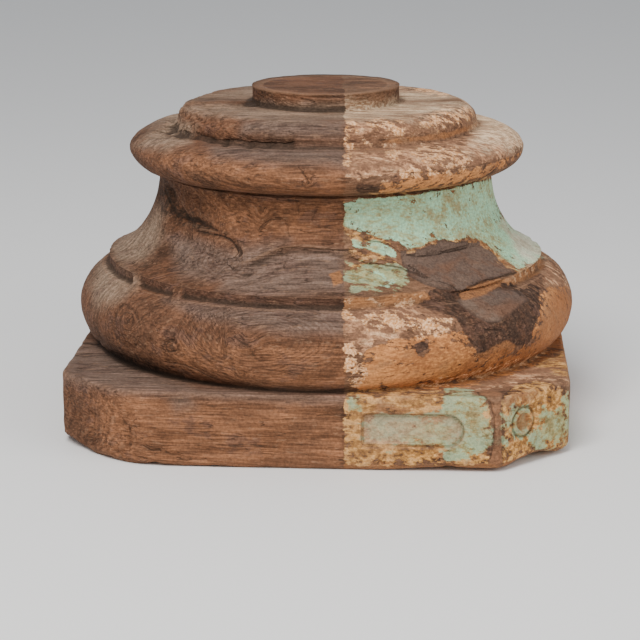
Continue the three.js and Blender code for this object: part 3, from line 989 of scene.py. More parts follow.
# The rings of each coat, and the places in them that have lost it
COATS = {
    "tan": (TAN, np.maximum(stain, facet)),
    "cream": (CREAM, facet),
    "ochre": (OCHRE, np.maximum(facet, rib)),
    "turquoise": (TURQUOISE, facet),
    "green": (GREEN, rib),
}
gaps_of = {name: np.minimum(coat(seen), -lost) for name, (seen, lost) in COATS.items()}
gaps_of |= {"stain": stain, "facet": facet, "rib": rib}
gaps_of |= {"ground": coat(GROUND), "fresh": coat(FRESH), "deep": coat(DEEP)}
gaps_of["fringe"] = gaps_of["turquoise"] + FRINGE_WIDTH
gaps_of["painted"] = paint_line + PAINT_LINE_STRAY * noise(points, 22 * MM, 63, 4)
for name, gap in gaps_of.items():
    keep(name, gap)
print("the stain covers", int((stain > 0).sum()), "vertices")
print("the broken faces cover", int((facet > 0).sum()), "vertices")

# %% [markdown]
# The bare half is one wood in many tempers: orange where it was rubbed lately, and under the rounds
# an orange that is painted light, as if bounced up from below; lilac grey where dust and weather
# lie on it, and on the tops painted light from above; beige where the end grain bleached, with
# painted highlights on the slopes and ends that face the light; and nearly black in the rotten
# hollow. One measure comes from the shape itself: how deep a place lies between its neighbours,
# the near ones for fine dirt and painted shade in the creases, and the wider ring of them for broad
# painted shade.

# %% Tempers of the bare wood
# Orange places: rubbed wood, and painted light bounced up under the rounds
WARM_AND_BOUNCE_LIGHT = [
    [(160, 160), (180, 152), (210, 160), (250, 162), (300, 170), (350, 178), (350, 198), (300, 196),
     (240, 190), (200, 180)],
    [(200, 192), (250, 200), (340, 203), (340, 225), (310, 232), (270, 235), (240, 232), (215, 225)],
    [(165, 352), (180, 342), (210, 343), (240, 347), (300, 340), (350, 338), (350, 385), (300, 390),
     (240, 382), (180, 366)],
    [(118, 396), (180, 394), (260, 398), (345, 398), (345, 472), (250, 472), (150, 468), (110, 452)],
    [(95, 400), (115, 395), (130, 420), (118, 450), (96, 450)],
    [(497, 306), (510, 299), (524, 301), (529, 311), (520, 321), (503, 324)],
    [(437, 265), (461, 258), (447, 274)],
]
# Grey places: dust and weather, and painted light on the tops
GREY_DUST_AND_TOP_LIGHT = [
    [(165, 300), (215, 305), (345, 308), (345, 335), (300, 335), (240, 325), (200, 318)],
    [(205, 143), (345, 148), (345, 166), (280, 162), (215, 156)],
    [(240, 118), (345, 118), (345, 138), (240, 135)],
    [(225, 265), (260, 253), (300, 249), (345, 252), (345, 292), (260, 297), (215, 292)],
    [(168, 236), (200, 240), (232, 250), (262, 244), (290, 240), (262, 262), (230, 284), (180, 276)],
    [(350, 155), (392, 160), (400, 165), (395, 176), (350, 177)],
    [(338, 318), (358, 318), (362, 334), (340, 334)],
    [(410, 306), (440, 300), (440, 312), (415, 314)],
    [(60, 345), (100, 340), (140, 368), (200, 386), (345, 396), (345, 404), (200, 398), (118, 392),
     (64, 380)],
    [(165, 395), (190, 392), (196, 406), (176, 412)],
]
# Pale places: bleached wood, and painted highlights on the slopes and ends that face the light
PALE_AND_HIGHLIT = [
    [(110, 245), (125, 232), (145, 222), (160, 205), (164, 222), (158, 245), (145, 262), (118, 262)],
    [(90, 285), (100, 262), (125, 268), (140, 282), (120, 300), (98, 310)],
    [(506, 222), (520, 228), (535, 236), (549, 250), (543, 258), (530, 264), (518, 258), (514, 240)],
    [(474, 136), (484, 116), (512, 120), (528, 138), (518, 148), (495, 147), (470, 149)],
    [(135, 145), (150, 130), (175, 118), (195, 125), (190, 143), (165, 150)],
    [(170, 104), (350, 104), (480, 104), (420, 114), (350, 119), (250, 119), (190, 112)],
]
SOOT = [
    [(158, 190), (168, 186), (180, 205), (195, 216), (212, 226), (216, 238), (195, 232), (178, 225),
     (163, 212)],
    [(110, 346), (125, 352), (140, 354), (156, 362), (170, 370), (150, 371), (125, 367), (112, 358)],
    [(171, 346), (176, 346), (176, 353), (171, 353)],
    [(222, 230), (235, 238), (238, 252), (230, 250), (228, 240)],
    [(140, 440), (160, 443), (165, 450), (145, 448)],
]


def hollows(rounds):
    """How far each vertex lies below its neighbours, in millimetres, after a little blurring."""
    edge_ends = np.empty(len(skin.edges) * 2, np.int64)
    skin.edges.foreach_get("vertices", edge_ends)
    first, second = edge_ends.reshape(-1, 2).T
    neighbours = np.bincount(first, minlength=count) + np.bincount(second, minlength=count)
    middle = points.copy()
    for _ in range(rounds):
        total = np.zeros((count, 3))
        for axis in range(3):
            total[:, axis] = np.bincount(first, middle[second, axis], count)
            total[:, axis] += np.bincount(second, middle[first, axis], count)
        middle = 0.5 * middle + 0.5 * total / neighbours[:, None]
    return ((middle - points) * normals).sum(axis=1) / MM


# A swirl of many rings is left plain at its middle
MANY_RINGS = 10
NEAR_ROUNDS = 3
WIDE_ROUNDS = 24
DARK_FOOT_MM = 130.7
DARK_HEAD_MM = 137.6
OFF_FLANGE = -6
IN_GAP = 3
CREASE_MM = (201, 216)
BUTTON_FAR = 40
CRACK_FAR = 4

# Knots by pixel place, half width and half height, number of rings and strength
SEEN_KNOTS = [
    ((127, 321), (16, 22), 3.2, 1.0),
    ((139, 342), (7, 7), 2, 0.8),
    ((172, 347), (8, 8), 2, 1.0),
    ((262, 340), (96, 46), 16, 0.5),
    ((307, 184), (8, 6), 1.5, 0.8),
    ((258, 216), (46, 24), 5, 0.35),
    ((222, 262), (34, 24), 6, 0.5),
    ((98, 440), (18, 12), 3, 0.8),
]
knot_rings = np.zeros(count)
knot_fade = np.zeros(count)
for place, half, ring_count, strength in SEEN_KNOTS:
    share = np.hypot(*((picture + wobble - place) / half).T)
    fade = strength * (1 - smooth(share, 0.6, 1.15))
    if ring_count > MANY_RINGS:
        fade *= smooth(share, 0.1, 0.45)
    knot_rings = np.where(fade > knot_fade, share * ring_count, knot_rings)
    knot_fade = np.maximum(knot_fade, fade)
# The flange's upright face: its dark band, partly end grain and partly painted shade, and its worn paint
# edge
on_flange = np.minimum(skin_mm - DARK_FOOT_MM, DARK_HEAD_MM - skin_mm)
on_flange = np.where(turned, np.minimum(on_flange, IN_GAP + OFF_FLANGE * gaps), OFF_FLANGE)

# The crease under the small round gets less dirt and painted shade than its depth would give it
crease = band(skin_mm, *CREASE_MM, 3)
# The near measure gives fine dirt and painted shade in creases, the wide one broad painted shade
near_hollow = hollows(NEAR_ROUNDS)
wide_hollow = hollows(WIDE_ROUNDS)
# The nearest of the crack and painted shadow lines, its side and how dark it is
crack_and_shadow_gaps = np.array([seen_line(seen) / width for seen, width, deep, darkness in CRACK_AND_SHADOW_LINES])
crack_and_shadow_darkness = np.array([darkness for seen, width, deep, darkness in CRACK_AND_SHADOW_LINES])
nearest_crack_and_shadow = np.abs(crack_and_shadow_gaps).argmin(axis=0)
crack_and_shadow_side = np.take_along_axis(crack_and_shadow_gaps, nearest_crack_and_shadow[None], axis=0)[0]
masks = {"warm": coat(WARM_AND_BOUNCE_LIGHT), "grey": coat(GREY_DUST_AND_TOP_LIGHT), "pale": coat(PALE_AND_HIGHLIT), "soot": coat(SOOT)}
masks |= {"knot_rings": knot_rings, "knot_fade": knot_fade, "rings": rings, "bend": bend * MM}
masks |= {"flange": on_flange, "panel": panel / MM, "button": np.minimum(button / MM, BUTTON_FAR)}
masks |= {"hollow": near_hollow * (1 - 0.85 * crease), "valley": wide_hollow * (1 - 0.8 * crease)}
masks["crack_and_shadow_side"] = np.clip(crack_and_shadow_side, -CRACK_FAR, CRACK_FAR)
masks["crack_and_shadow_near"] = np.minimum(np.abs(crack_and_shadow_side), CRACK_FAR)
masks["crack_and_shadow_dark"] = crack_and_shadow_darkness[nearest_crack_and_shadow]
for name, values in masks.items():
    keep(name, values)
print("deepest hollow", round(float(near_hollow.max()), 2), "mm")

# %% [markdown]
# The skin now takes the place of the plain solid in the picture. It is the same piece of wood, on
# the same body and in the same place.

# %% Show the skin
piece = bpy.data.objects.new("column_base_wood", skin)
bpy.context.scene.collection.objects.link(piece)
skin.shade_smooth()
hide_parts("column_base")
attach(piece, "root")
print(piece.name, "shows", len(skin.polygons), "faces")

# %% [markdown]
# The finish is one long recipe of nodes. A small workbench keeps it readable: each call places
# one node or a few, wires what it is given and hands back the result.


# %% Workbench for nodes
class Bench:
    def __init__(self, tree):
        self.tree = tree

    def place(self, kind, **settings):
        node = self.tree.nodes.new(kind)
        for name, value in settings.items():
            setattr(node, name, value)
        return node

    def feed(self, socket, value):
        if isinstance(value, bpy.types.NodeSocket):
            self.tree.links.new(value, socket)
        elif isinstance(value, tuple) and len(value) == 3 and socket.type == "RGBA":
            socket.default_value = (*value, 1)
        else:
            socket.default_value = value

    def maths(self, operation, *values, clamp=False):
        node = self.place("ShaderNodeMath", operation=operation, use_clamp=clamp)
        for socket, value in zip(node.inputs, values):
            self.feed(socket, value)
        return node.outputs[0]

    def times(self, *values):
        result = values[0]
        for value in values[1:]:
            result = self.maths("MULTIPLY", result, value)
        return result

    def plus(self, value, factor, start):
        """The start, with a value times a factor added to it."""
        return self.maths("MULTIPLY_ADD", value, factor, start)

    def without(self, mask):
        return self.maths("SUBTRACT", 1.0, mask)

    def shake(self, value, noise, reach):
        """A value moved up and down by a noise, at most by half the reach each way."""
        return self.plus(self.maths("SUBTRACT", noise, 0.5), reach, value)

    def mingle(self, first, second, share):
        """Two noises added up: a share of the first, and the rest of the second."""
        return self.maths("ADD", self.times(first, share), self.times(second, 1 - share))

    def step(self, value, start, end, low=0.0, high=1.0):
        """Low up to the start, high from the end on and an easy curve between."""
        node = self.place("ShaderNodeMapRange", interpolation_type="SMOOTHSTEP")
        for socket, given in zip(node.inputs, (value, start, end, low, high)):
            self.feed(socket, given)
        return node.outputs[0]

    def blend(self, below, above, share, how="MIX"):
        node = self.place("ShaderNodeMix", data_type="RGBA", blend_type=how)
        self.feed(node.inputs["Factor"], share)
        self.feed(node.inputs[6], below)
        self.feed(node.inputs[7], above)
        return node.outputs[2]

    def lay(self, below, above, *masks):
        """A colour laid over another one, as far as all the masks let it."""
        return self.blend(below, above, self.times(*masks))

    def noise(self, place, scale, detail, roughness):
        node = self.place("ShaderNodeTexNoise")
        given = {"Vector": place, "Scale": scale, "Detail": detail, "Roughness": roughness}
        for name, value in given.items():
            self.feed(node.inputs[name], value)
        return node.outputs["Fac"]

    def vector(self, x, y, z):
        node = self.place("ShaderNodeCombineXYZ")
        for socket, value in zip(node.inputs, (x, y, z)):
            self.feed(socket, value)
        return node.outputs[0]

    def read(self, name):
        node = self.place("ShaderNodeAttribute", attribute_name=name)
        return node.outputs["Fac"]

    def group(self, tree, **inputs):
        node = self.place("ShaderNodeGroup", node_tree=tree)
        for name, value in inputs.items():
            self.feed(node.inputs[name.capitalize()], value)
        return node.outputs


def start_group(name, inputs, outputs):
    tree = bpy.data.node_groups.new(name, "ShaderNodeTree")
    for label, kind in inputs:
        tree.interface.new_socket(label, in_out="INPUT", socket_type=kind)
    for label, kind in outputs:
        tree.interface.new_socket(label, in_out="OUTPUT", socket_type=kind)
    bench = Bench(tree)
    return bench, bench.place("NodeGroupInput").outputs, bench.place("NodeGroupOutput").inputs


NUMBER = "NodeSocketFloat"
print("the workbench has", sum(callable(tool) for tool in vars(Bench).values()), "tools")

# %% [markdown]
# Flaking paint ends in a ragged edge, and away from the edge it is pitted with small chips. One
# group does this for every coat. It takes the gap to the coat's traced edge, shakes it with the
# noise of the chips and cuts it off sharply. The pits crowd together near the edge.

# %% Flaking coat
RIM_WIDTH = 11.0
RIM_PITTING = 0.1
PIT_EDGE = 0.04


def make_flaking_coat():
    inputs = [(label, NUMBER) for label in ("Gap", "Ragged", "Pitted", "Edge", "Chips")]
    bench, given, made = start_group("flaking_coat", inputs, [("Cover", NUMBER)])
    shaken = bench.shake(given["Gap"], given["Chips"], given["Ragged"])
    inside = bench.step(shaken, bench.times(given["Edge"], -1.0), given["Edge"])
    worn_rim = bench.step(shaken, 0.0, RIM_WIDTH, RIM_PITTING, 0.0)
    pitted = bench.maths("ADD", given["Pitted"], worn_rim)
    pits = bench.step(given["Chips"], pitted, bench.maths("ADD", pitted, PIT_EDGE))
    bench.feed(made["Cover"], bench.times(inside, pits))
    return bench.tree


flaking_coat = make_flaking_coat()
print("group", flaking_coat.name, "with", len(flaking_coat.nodes), "nodes")

# %% [markdown]
# Wood grain is noise drawn out along the fibres, which run from left to right and stray by the
# bend that was worked out above. Fine streaks, broad bands along the growth rings, short dark
# pores, pale flecks of torn fibre and long thin drying checks are five noises of that kind.

# %% Wood grain
# Waves per metre along the fibres, across them and upward, then the noise's detail and roughness
STREAKS = (26.0, 420.0, 560.0, 3.0, 0.6)
PORES = (160.0, 700.0, 900.0, 2.0, 0.5)
FLECKS = (110.0, 330.0, 400.0, 3.0, 0.6)
CHECKS = (13.0, 120.0, 170.0, 2.0, 0.5)
BAND_WAVES = 12.0
BANDS_PER_RING = 0.28


def make_wood_grain():
    inputs = [("Place", "NodeSocketVector"), ("Bend", NUMBER), ("Rings", NUMBER)]
    outputs = [(label, NUMBER) for label in ("Streaks", "Bands", "Pores", "Flecks", "Checks")]
    bench, given, made = start_group("wood_grain", inputs, outputs)
    split = bench.place("ShaderNodeSeparateXYZ")
    bench.feed(split.inputs[0], given["Place"])
    along, across, rise = split.outputs
    level = bench.maths("ADD", rise, given["Bend"])

    def drawn_out(along_waves, across_waves, upward_waves, detail, roughness):
        waves = ((along, along_waves), (across, across_waves), (level, upward_waves))
        place = bench.vector(*[bench.times(*pair) for pair in waves])
        return bench.noise(place, 1.0, detail, roughness)

    bench.feed(made["Streaks"], drawn_out(*STREAKS))
    bands = bench.vector(bench.times(along, BAND_WAVES), bench.times(given["Rings"], BANDS_PER_RING), 0.0)
    bench.feed(made["Bands"], bench.noise(bands, 1.0, 3.0, 0.6))
    bench.feed(made["Pores"], bench.step(drawn_out(*PORES), 0.58, 0.7))
    bench.feed(made["Flecks"], bench.step(drawn_out(*FLECKS), 0.57, 0.68))
    off_line = bench.maths("ABSOLUTE", bench.maths("SUBTRACT", drawn_out(*CHECKS), 0.5))
    bench.feed(made["Checks"], bench.step(off_line, 0.004, 0.016, 1.0, 0.0))
    return bench.tree


wood_grain = make_wood_grain()
print("group", wood_grain.name, "with", len(wood_grain.nodes), "nodes")

# %% [markdown]
# All of the finish shares a few noises: broad patches, blotches and chips, drawn out a little
# along the log, and fine specks. The masks of the cracks and painted shadow lines, the knots, the
# carved grooves, the flange, the broken faces and every coat are worked out once too, because more
# than one stage of the finish needs them.

# %% Noises and masks of the finish
# Waves per metre, detail and roughness
PATCHES = (18.0, 4.0, 0.6)
BLOTCHES = (60.0, 5.0, 0.65)
CHIPS = (170.0, 6.0, 0.7)
SPECKS = (480.0, 3.0, 0.65)
ALONG_LOG = (0.55, 1.0, 1.0)
PAINT_LINE_SHAKE = 10.0

# How ragged a coat's edge is in mm, how pitted the coat is, and how soft its edge is in mm
FLAKING = {
    "tan": (12.0, 0.36, 0.5),
    "cream": (22.0, 0.39, 0.4),
    "ochre": (16.0, 0.36, 0.5),
    "turquoise": (11.0, 0.31, 0.4),
    "fringe": (22.0, 0.4, 0.5),
    "green": (40.0, 0.38, 1.5),
    "ground": (14.0, 0.37, 1.2),
    "stain": (26.0, 0.3, 0.9),
}
CRISP_COATS = ("tan", "cream", "ochre", "turquoise")


class Finish(Bench):
    """The workbench of the material, with the noises and masks that its stages share."""

    def __init__(self, tree):
        super().__init__(tree)
        place = self.place("ShaderNodeTexCoord").outputs["Object"]
        self.grain = self.group(wood_grain, place=place, bend=self.read("bend"), rings=self.read("rings"))
        self.streaks = self.step(self.grain["Streaks"], 0.34, 0.66)
        bands = self.step(self.grain["Bands"], 0.36, 0.64)
        self.tone = self.mingle(self.streaks, bands, 0.6)
        stretched = self.place("ShaderNodeMapping")
        self.feed(stretched.inputs["Vector"], place)
        self.feed(stretched.inputs["Scale"], ALONG_LOG)
        self.patches = self.noise(stretched.outputs[0], *PATCHES)
        self.blotches = self.noise(stretched.outputs[0], *BLOTCHES)
        self.chips = self.noise(stretched.outputs[0], *CHIPS)
        self.specks = self.noise(place, *SPECKS)
        self.mottling = self.mingle(self.blotches, self.chips, 0.6)
        self.flakes = self.mingle(self.grain["Streaks"], self.chips, 0.2)
        self.checks = self.times(self.grain["Checks"], self.step(self.mottling, 0.44, 0.56))
        self.right = self.step(self.shake(self.read("painted"), self.chips, PAINT_LINE_SHAKE), -0.5, 0.5)
        self.flange = self.step(self.read("flange"), -0.4, 0.8)
        self.facet = self.step(self.read("facet"), -0.6, 0.6)
        self.off_facet = self.without(self.facet)
        self.cover = {name: self.flaked(name) for name in FLAKING}
        self.crack_and_shadow_mark = self.cracks()
        self.knot_line = self.knot_lines()
        self.groove = self.grooves()

    def temper(self, name, reach, spread):
        """A soft mask from a traced ring, with its edge broken up by the blotches."""
        return self.step(self.shake(self.read(name), self.blotches, spread), -reach, reach)

    def flaked(self, name):
        """How fully the coat of a name covers what lies under it."""
        ragged, pitted, edge = FLAKING[name]
        chips = self.chips if name in CRISP_COATS else self.mottling
        gap = self.read(name)
        made = self.group(flaking_coat, gap=gap, ragged=ragged, pitted=pitted, edge=edge, chips=chips)
        return made["Cover"]

    def cracks(self):
        """The dark of each crack and painted shadow line, which the blotches make wider and narrower."""
        width = self.step(self.blotches, 0.3, 0.65, 0.25, 1.0)
        gap = self.maths("ABSOLUTE", self.read("crack_and_shadow_side"))
        inside = self.step(gap, 0.05, width, 1.0, 0.0)
        near = self.step(self.read("crack_and_shadow_near"), 0.9, 1.6, 1.0, 0.0)
        return self.times(inside, near, self.read("crack_and_shadow_dark"))

    def knot_lines(self):
        """The dark rings of the knots. They stray less the stronger the knot is."""
        fade = self.read("knot_fade")
        stray = self.step(fade, 0.4, 0.9, 1.0, 0.3)
        turns = self.shake(self.read("knot_rings"), self.chips, 1.0)
        turns = self.shake(turns, self.patches, self.times(stray, 3.5))
        turns = self.shake(turns, self.blotches, self.times(stray, 1.6))
        wave = self.maths("SINE", self.times(turns, 2 * math.pi))
        return self.times(self.step(wave, -0.2, 1.0), fade, self.step(self.blotches, 0.3, 0.5, 0.4, 1.0))

    def grooves(self):
        """The grooves round the panel and the button, darkened by dirt and by painted shade."""
        panel_side = self.maths("ABSOLUTE", self.read("panel"))
        panel_groove = self.step(panel_side, 0.2, 1.3, 1.0, 0.0)
        panel_groove = self.times(panel_groove, self.step(self.blotches, 0.3, 0.5, 0.5, 1.0))
        from_ring = self.maths("SUBTRACT", self.read("button"), BUTTON_RADIUS / MM)
        button_groove = self.step(self.maths("ABSOLUTE", from_ring), 0.3, 1.5, 1.0, 0.0)
        return self.maths("MAXIMUM", panel_groove, button_groove)


print("flaking coats:", ", ".join(FLAKING))

# %% [markdown]
# The bare wood comes first. Its tempers are laid over each other from the broadest to the
# smallest, then the knots, the streaks of the grain and the drying checks.

# %% Bare wood
WOOD_MID = (0.15, 0.068, 0.036)
WOOD_DARK = (0.085, 0.042, 0.024)
WOOD_PURPLE = (0.105, 0.06, 0.046)
WOOD_WARM = (0.185, 0.078, 0.037)
WOOD_ORANGE = (0.31, 0.135, 0.064)
WOOD_FRESH = (0.36, 0.15, 0.055)
WOOD_GREY = (0.167, 0.115, 0.09)
WOOD_PALE = (0.31, 0.222, 0.155)
FLECK_PALE = (0.36, 0.2, 0.115)
FLANGE_BROWN_AND_SHADE = (0.085, 0.041, 0.025)
# Black of soot, checks and cracks, and of painted shade in creases and painted shadow lines
SOOT_AND_SHADE_BLACK = (0.035, 0.021, 0.013)
OLD_WOOD = (0.22, 0.115, 0.065)
STAIN_BROWN = (0.048, 0.028, 0.02)
STAIN_RED = (0.14, 0.066, 0.037)
GRAIN_DARK = (0.5, 0.47, 0.44)
GRAIN_LIGHT = (1.45, 1.42, 1.38)


def bare_wood(bench):
    """The wood in its tempers, old and stained on the right half, with its grain on it."""
    blotches = bench.blotches
    wood = bench.lay(WOOD_MID, WOOD_DARK, bench.step(bench.patches, 0.4, 0.66))
    wood = bench.lay(wood, WOOD_WARM, bench.step(blotches, 0.42, 0.62), 0.6)
    orange = bench.step(blotches, 0.34, 0.6, 0.3, 0.85)
    # Orange, partly painted bounce light under the rounds
    wood = bench.lay(wood, WOOD_ORANGE, bench.temper("warm", 8.0, 20.0), orange)
    # Grey, partly painted light on the tops
    wood = bench.lay(wood, WOOD_GREY, bench.temper("grey", 8.0, 18.0), 0.8)
    # Pale, partly painted highlights on the slopes and ends that face the light
    wood = bench.lay(wood, WOOD_PALE, bench.temper("pale", 7.0, 22.0), 0.72)
    # Dark band on the flange's upright face: partly end grain, partly painted shade of a face turned from
    # the light
    wood = bench.lay(wood, FLANGE_BROWN_AND_SHADE, bench.flange, 0.85)
    old = bench.lay(OLD_WOOD, STAIN_BROWN, bench.step(blotches, 0.4, 0.62))
    wood = bench.lay(wood, old, bench.right, 0.6)
    stain = bench.lay(STAIN_BROWN, STAIN_RED, bench.step(bench.mottling, 0.45, 0.62))
    wood = bench.lay(wood, stain, bench.cover["stain"], bench.right, 0.9)
    wood = bench.lay(wood, WOOD_PURPLE, bench.step(blotches, 0.52, 0.64), 0.55)
    wood = bench.lay(wood, WOOD_DARK, bench.knot_line, 0.8)
    wood = bench.blend(wood, bench.lay(GRAIN_DARK, GRAIN_LIGHT, bench.tone), 1.0, "MULTIPLY")
    wood = bench.lay(wood, FLECK_PALE, bench.grain["Flecks"], 0.33)
    return bench.lay(wood, SOOT_AND_SHADE_BLACK, bench.checks, 0.6)


print("bare wood runs from", WOOD_DARK, "to", WOOD_PALE)

# %% [markdown]
# The broken faces are duller than the carved ones, with a dark broken rim. Small places knocked
# lately show fresh orange wood.

# %% Broken and fresh wood
FACET_BROWN = (0.18, 0.116, 0.082)
FACET_RED = (0.16, 0.075, 0.042)
FACET_DARK = (0.125, 0.082, 0.062)
FRESH_DEEP = (0.25, 0.105, 0.045)


def broken_wood(bench, colour):
    face = bench.lay(FACET_BROWN, FACET_DARK, bench.step(bench.patches, 0.38, 0.62))
    face = bench.lay(face, FACET_RED, bench.step(bench.blotches, 0.5, 0.62), 0.5)
    face = bench.lay(face, FACET_RED, bench.temper("warm", 4.0, 8.0), 0.75)
    broken_rim = bench.step(bench.plus(bench.chips, -4.0, bench.read("facet")), -1.6, 0.8, 0.6, 0.0)
    face = bench.lay(face, STAIN_BROWN, broken_rim)
    colour = bench.lay(colour, face, bench.facet, 0.9)
    fresh = bench.lay(FRESH_DEEP, WOOD_FRESH, bench.tone)
    crumbs = bench.step(bench.specks, 0.3, 0.5, 0.6, 1.0)
    colour = bench.lay(colour, fresh, bench.temper("fresh", 1.2, 9.0), crumbs)
    return bench.lay(colour, WOOD_DARK, bench.grain["Pores"], 0.5)


print("broken faces are", FACET_BROWN, "and fresh wood is", WOOD_FRESH)

# %% [markdown]
# The coats follow in the order in which they were painted. Each colour is broken up by chips,
# blotches or specks, because old paint never wears evenly. A fringe of ochre shows round the
# turquoise. Last come a chalky bloom and painted highlights on the palest places, the slopes and
# ends that face the light, and then the flange, whose edge has lost most of its paint.

# %% Paint on the wood
GROUND_PALE = (0.5, 0.25, 0.128)
GROUND_BROWN = (0.22, 0.105, 0.057)
TAN_PAINT = (0.67, 0.278, 0.09)
TAN_DEEP = (0.32, 0.12, 0.042)
CREAM_PAINT = (0.81, 0.49, 0.27)
OCHRE_PAINT = (0.27, 0.12, 0.032)
OCHRE_GOLD = (0.6, 0.295, 0.086)
OCHRE_LIGHT = (0.78, 0.47, 0.21)
RUST = (0.27, 0.105, 0.042)
TURQUOISE_PAINT = (0.37, 0.6, 0.38)
TURQUOISE_WORN = (0.37, 0.35, 0.16)
GREEN_PAINT = (0.37, 0.4, 0.2)
GREEN_WORN = (0.27, 0.22, 0.09)
# Chalky bloom colours, which also serve as painted highlight where the light falls
CHALK_AND_HIGHLIGHT_BROWN = (0.5, 0.3, 0.17)
CHALK_AND_HIGHLIGHT_GREEN = (0.74, 0.7, 0.52)
CHALK_AND_HIGHLIGHT = (0.93, 0.68, 0.43)


def paint_coats(bench, colour):
    chips, blotches, flakes, specks = bench.chips, bench.blotches, bench.flakes, bench.specks
    streaks = bench.grain["Streaks"]
    ground = bench.lay(GROUND_BROWN, GROUND_PALE, bench.step(flakes, 0.44, 0.5))
    ground = bench.lay(ground, CREAM_PAINT, bench.step(flakes, 0.54, 0.58, 0.0, 0.8))
    ground = bench.lay(ground, GROUND_BROWN, bench.step(blotches, 0.46, 0.54, 0.0, 0.8))
    tan = bench.lay(TAN_DEEP, TAN_PAINT, bench.step(bench.mingle(bench.patches, streaks, 0.5), 0.38, 0.6))
    tan = bench.lay(tan, TAN_DEEP, bench.temper("deep", 6.0, 20.0), 0.9)
    cream = bench.lay(TAN_PAINT, CREAM_PAINT, bench.step(specks, 0.35, 0.65))
    ochre = bench.lay(OCHRE_PAINT, OCHRE_GOLD, bench.step(chips, 0.42, 0.58))
    ochre = bench.lay(ochre, RUST, bench.step(blotches, 0.48, 0.58, 0.0, 0.75))
    ochre = bench.lay(ochre, OCHRE_LIGHT, bench.step(flakes, 0.51, 0.57, 0.0, 0.4))
    brushed = bench.mingle(streaks, bench.mottling, 0.35)
    turquoise = bench.lay(TURQUOISE_PAINT, TURQUOISE_WORN, bench.step(brushed, 0.45, 0.6))
    green = bench.lay(GREEN_WORN, GREEN_PAINT, bench.step(chips, 0.42, 0.58))
    green = bench.lay(green, TURQUOISE_PAINT, bench.step(bench.mottling, 0.5, 0.58, 0.0, 0.7))
    green = bench.lay(green, OCHRE_PAINT, bench.step(specks, 0.58, 0.66, 0.0, 0.6))
    paints = {
        "ground": (ground, 0.9),
        "tan": (tan, 1.0),
        "cream": (cream, 1.0),
        "fringe": (ochre, 0.9),
        "ochre": (ochre, 1.0),
        "turquoise": (turquoise, 1.0),
        "green": (green, 0.92),
    }
    for name, (paint, hiding) in paints.items():
        colour = bench.lay(colour, paint, bench.right, bench.cover[name], hiding)
    return colour


def chalk_highlight_and_flange(bench, colour):
    # Chalky bloom and painted highlights on the palest places, the slopes and ends that face the light
    highlit_chalk = bench.lay(CHALK_AND_HIGHLIGHT_BROWN, CHALK_AND_HIGHLIGHT, bench.step(bench.streaks, 0.3, 0.7))
    highlit_chalk = bench.lay(highlit_chalk, CHALK_AND_HIGHLIGHT_GREEN, bench.cover["turquoise"])
    bloom_and_highlight = bench.times(bench.temper("pale", 9.0, 30.0), bench.step(bench.flakes, 0.36, 0.52, 0.7, 1.0))
    colour = bench.lay(colour, highlit_chalk, bloom_and_highlight, bench.right, bench.without(bench.flange), 0.9)
    edge = bench.lay(WOOD_FRESH, STAIN_BROWN, bench.step(bench.blotches, 0.45, 0.62, 0.0, 0.7))
    edge = bench.lay(edge, CREAM_PAINT, bench.step(bench.chips, 0.54, 0.6, 0.0, 0.7))
    unstained = bench.times(bench.off_facet, bench.without(bench.cover["stain"]))
    return bench.lay(colour, edge, bench.flange, bench.right, unstained, 0.85)


print("the last paint was", TURQUOISE_PAINT, "and the first rests are", GROUND_PALE)

# %% [markdown]
# The grooves of the carved ornament are darkened by dirt and painted shade. The rib between the
# two faces was rubbed back to brown wood and the button to a rusty brown. The sunk panel shows a
# pinkish undercoat.

# %% Colours of the ornament
RIB_BROWN = (0.3, 0.135, 0.065)
PANEL_PINK = (0.5, 0.36, 0.24)


def ornament(bench, colour):
    colour = bench.lay(colour, RUST, bench.step(bench.read("button"), 6.5, 8.5, 0.7, 0.0))
    # Dirt and painted shade in the grooves
    colour = bench.lay(colour, STAIN_BROWN, bench.groove, 0.5)
    rib = bench.lay(RIB_BROWN, STAIN_BROWN, bench.step(bench.blotches, 0.42, 0.62, 0.0, 0.6))
    colour = bench.lay(colour, rib, bench.step(bench.read("rib"), -0.5, 1.0), 0.9)
    in_panel = bench.step(bench.read("panel"), 0.0, 2.0)
    return bench.lay(colour, PANEL_PINK, in_panel, bench.step(bench.patches, 0.4, 0.6), 0.45)


print("the rib is", RIB_BROWN, "and the panel's undercoat", PANEL_PINK)

# %% [markdown]
# Dirt comes last, as it did on the real base: a brown patina and a haze of dust on the paint,
# soot in the rotten places, dirt and painted shade in whatever lies deep, and paler wood where
# edges were rubbed.

# %% Dirt, wear and painted shade
PATINA = (0.24, 0.135, 0.07)
# How much less dirt and painted shade lies on the paint
LESS_DIRT_AND_SHADE_ON_PAINT = 0.65
SPECK_DARK = (0.8, 0.8, 0.8)
SPECK_LIGHT = (1.2, 1.2, 1.2)


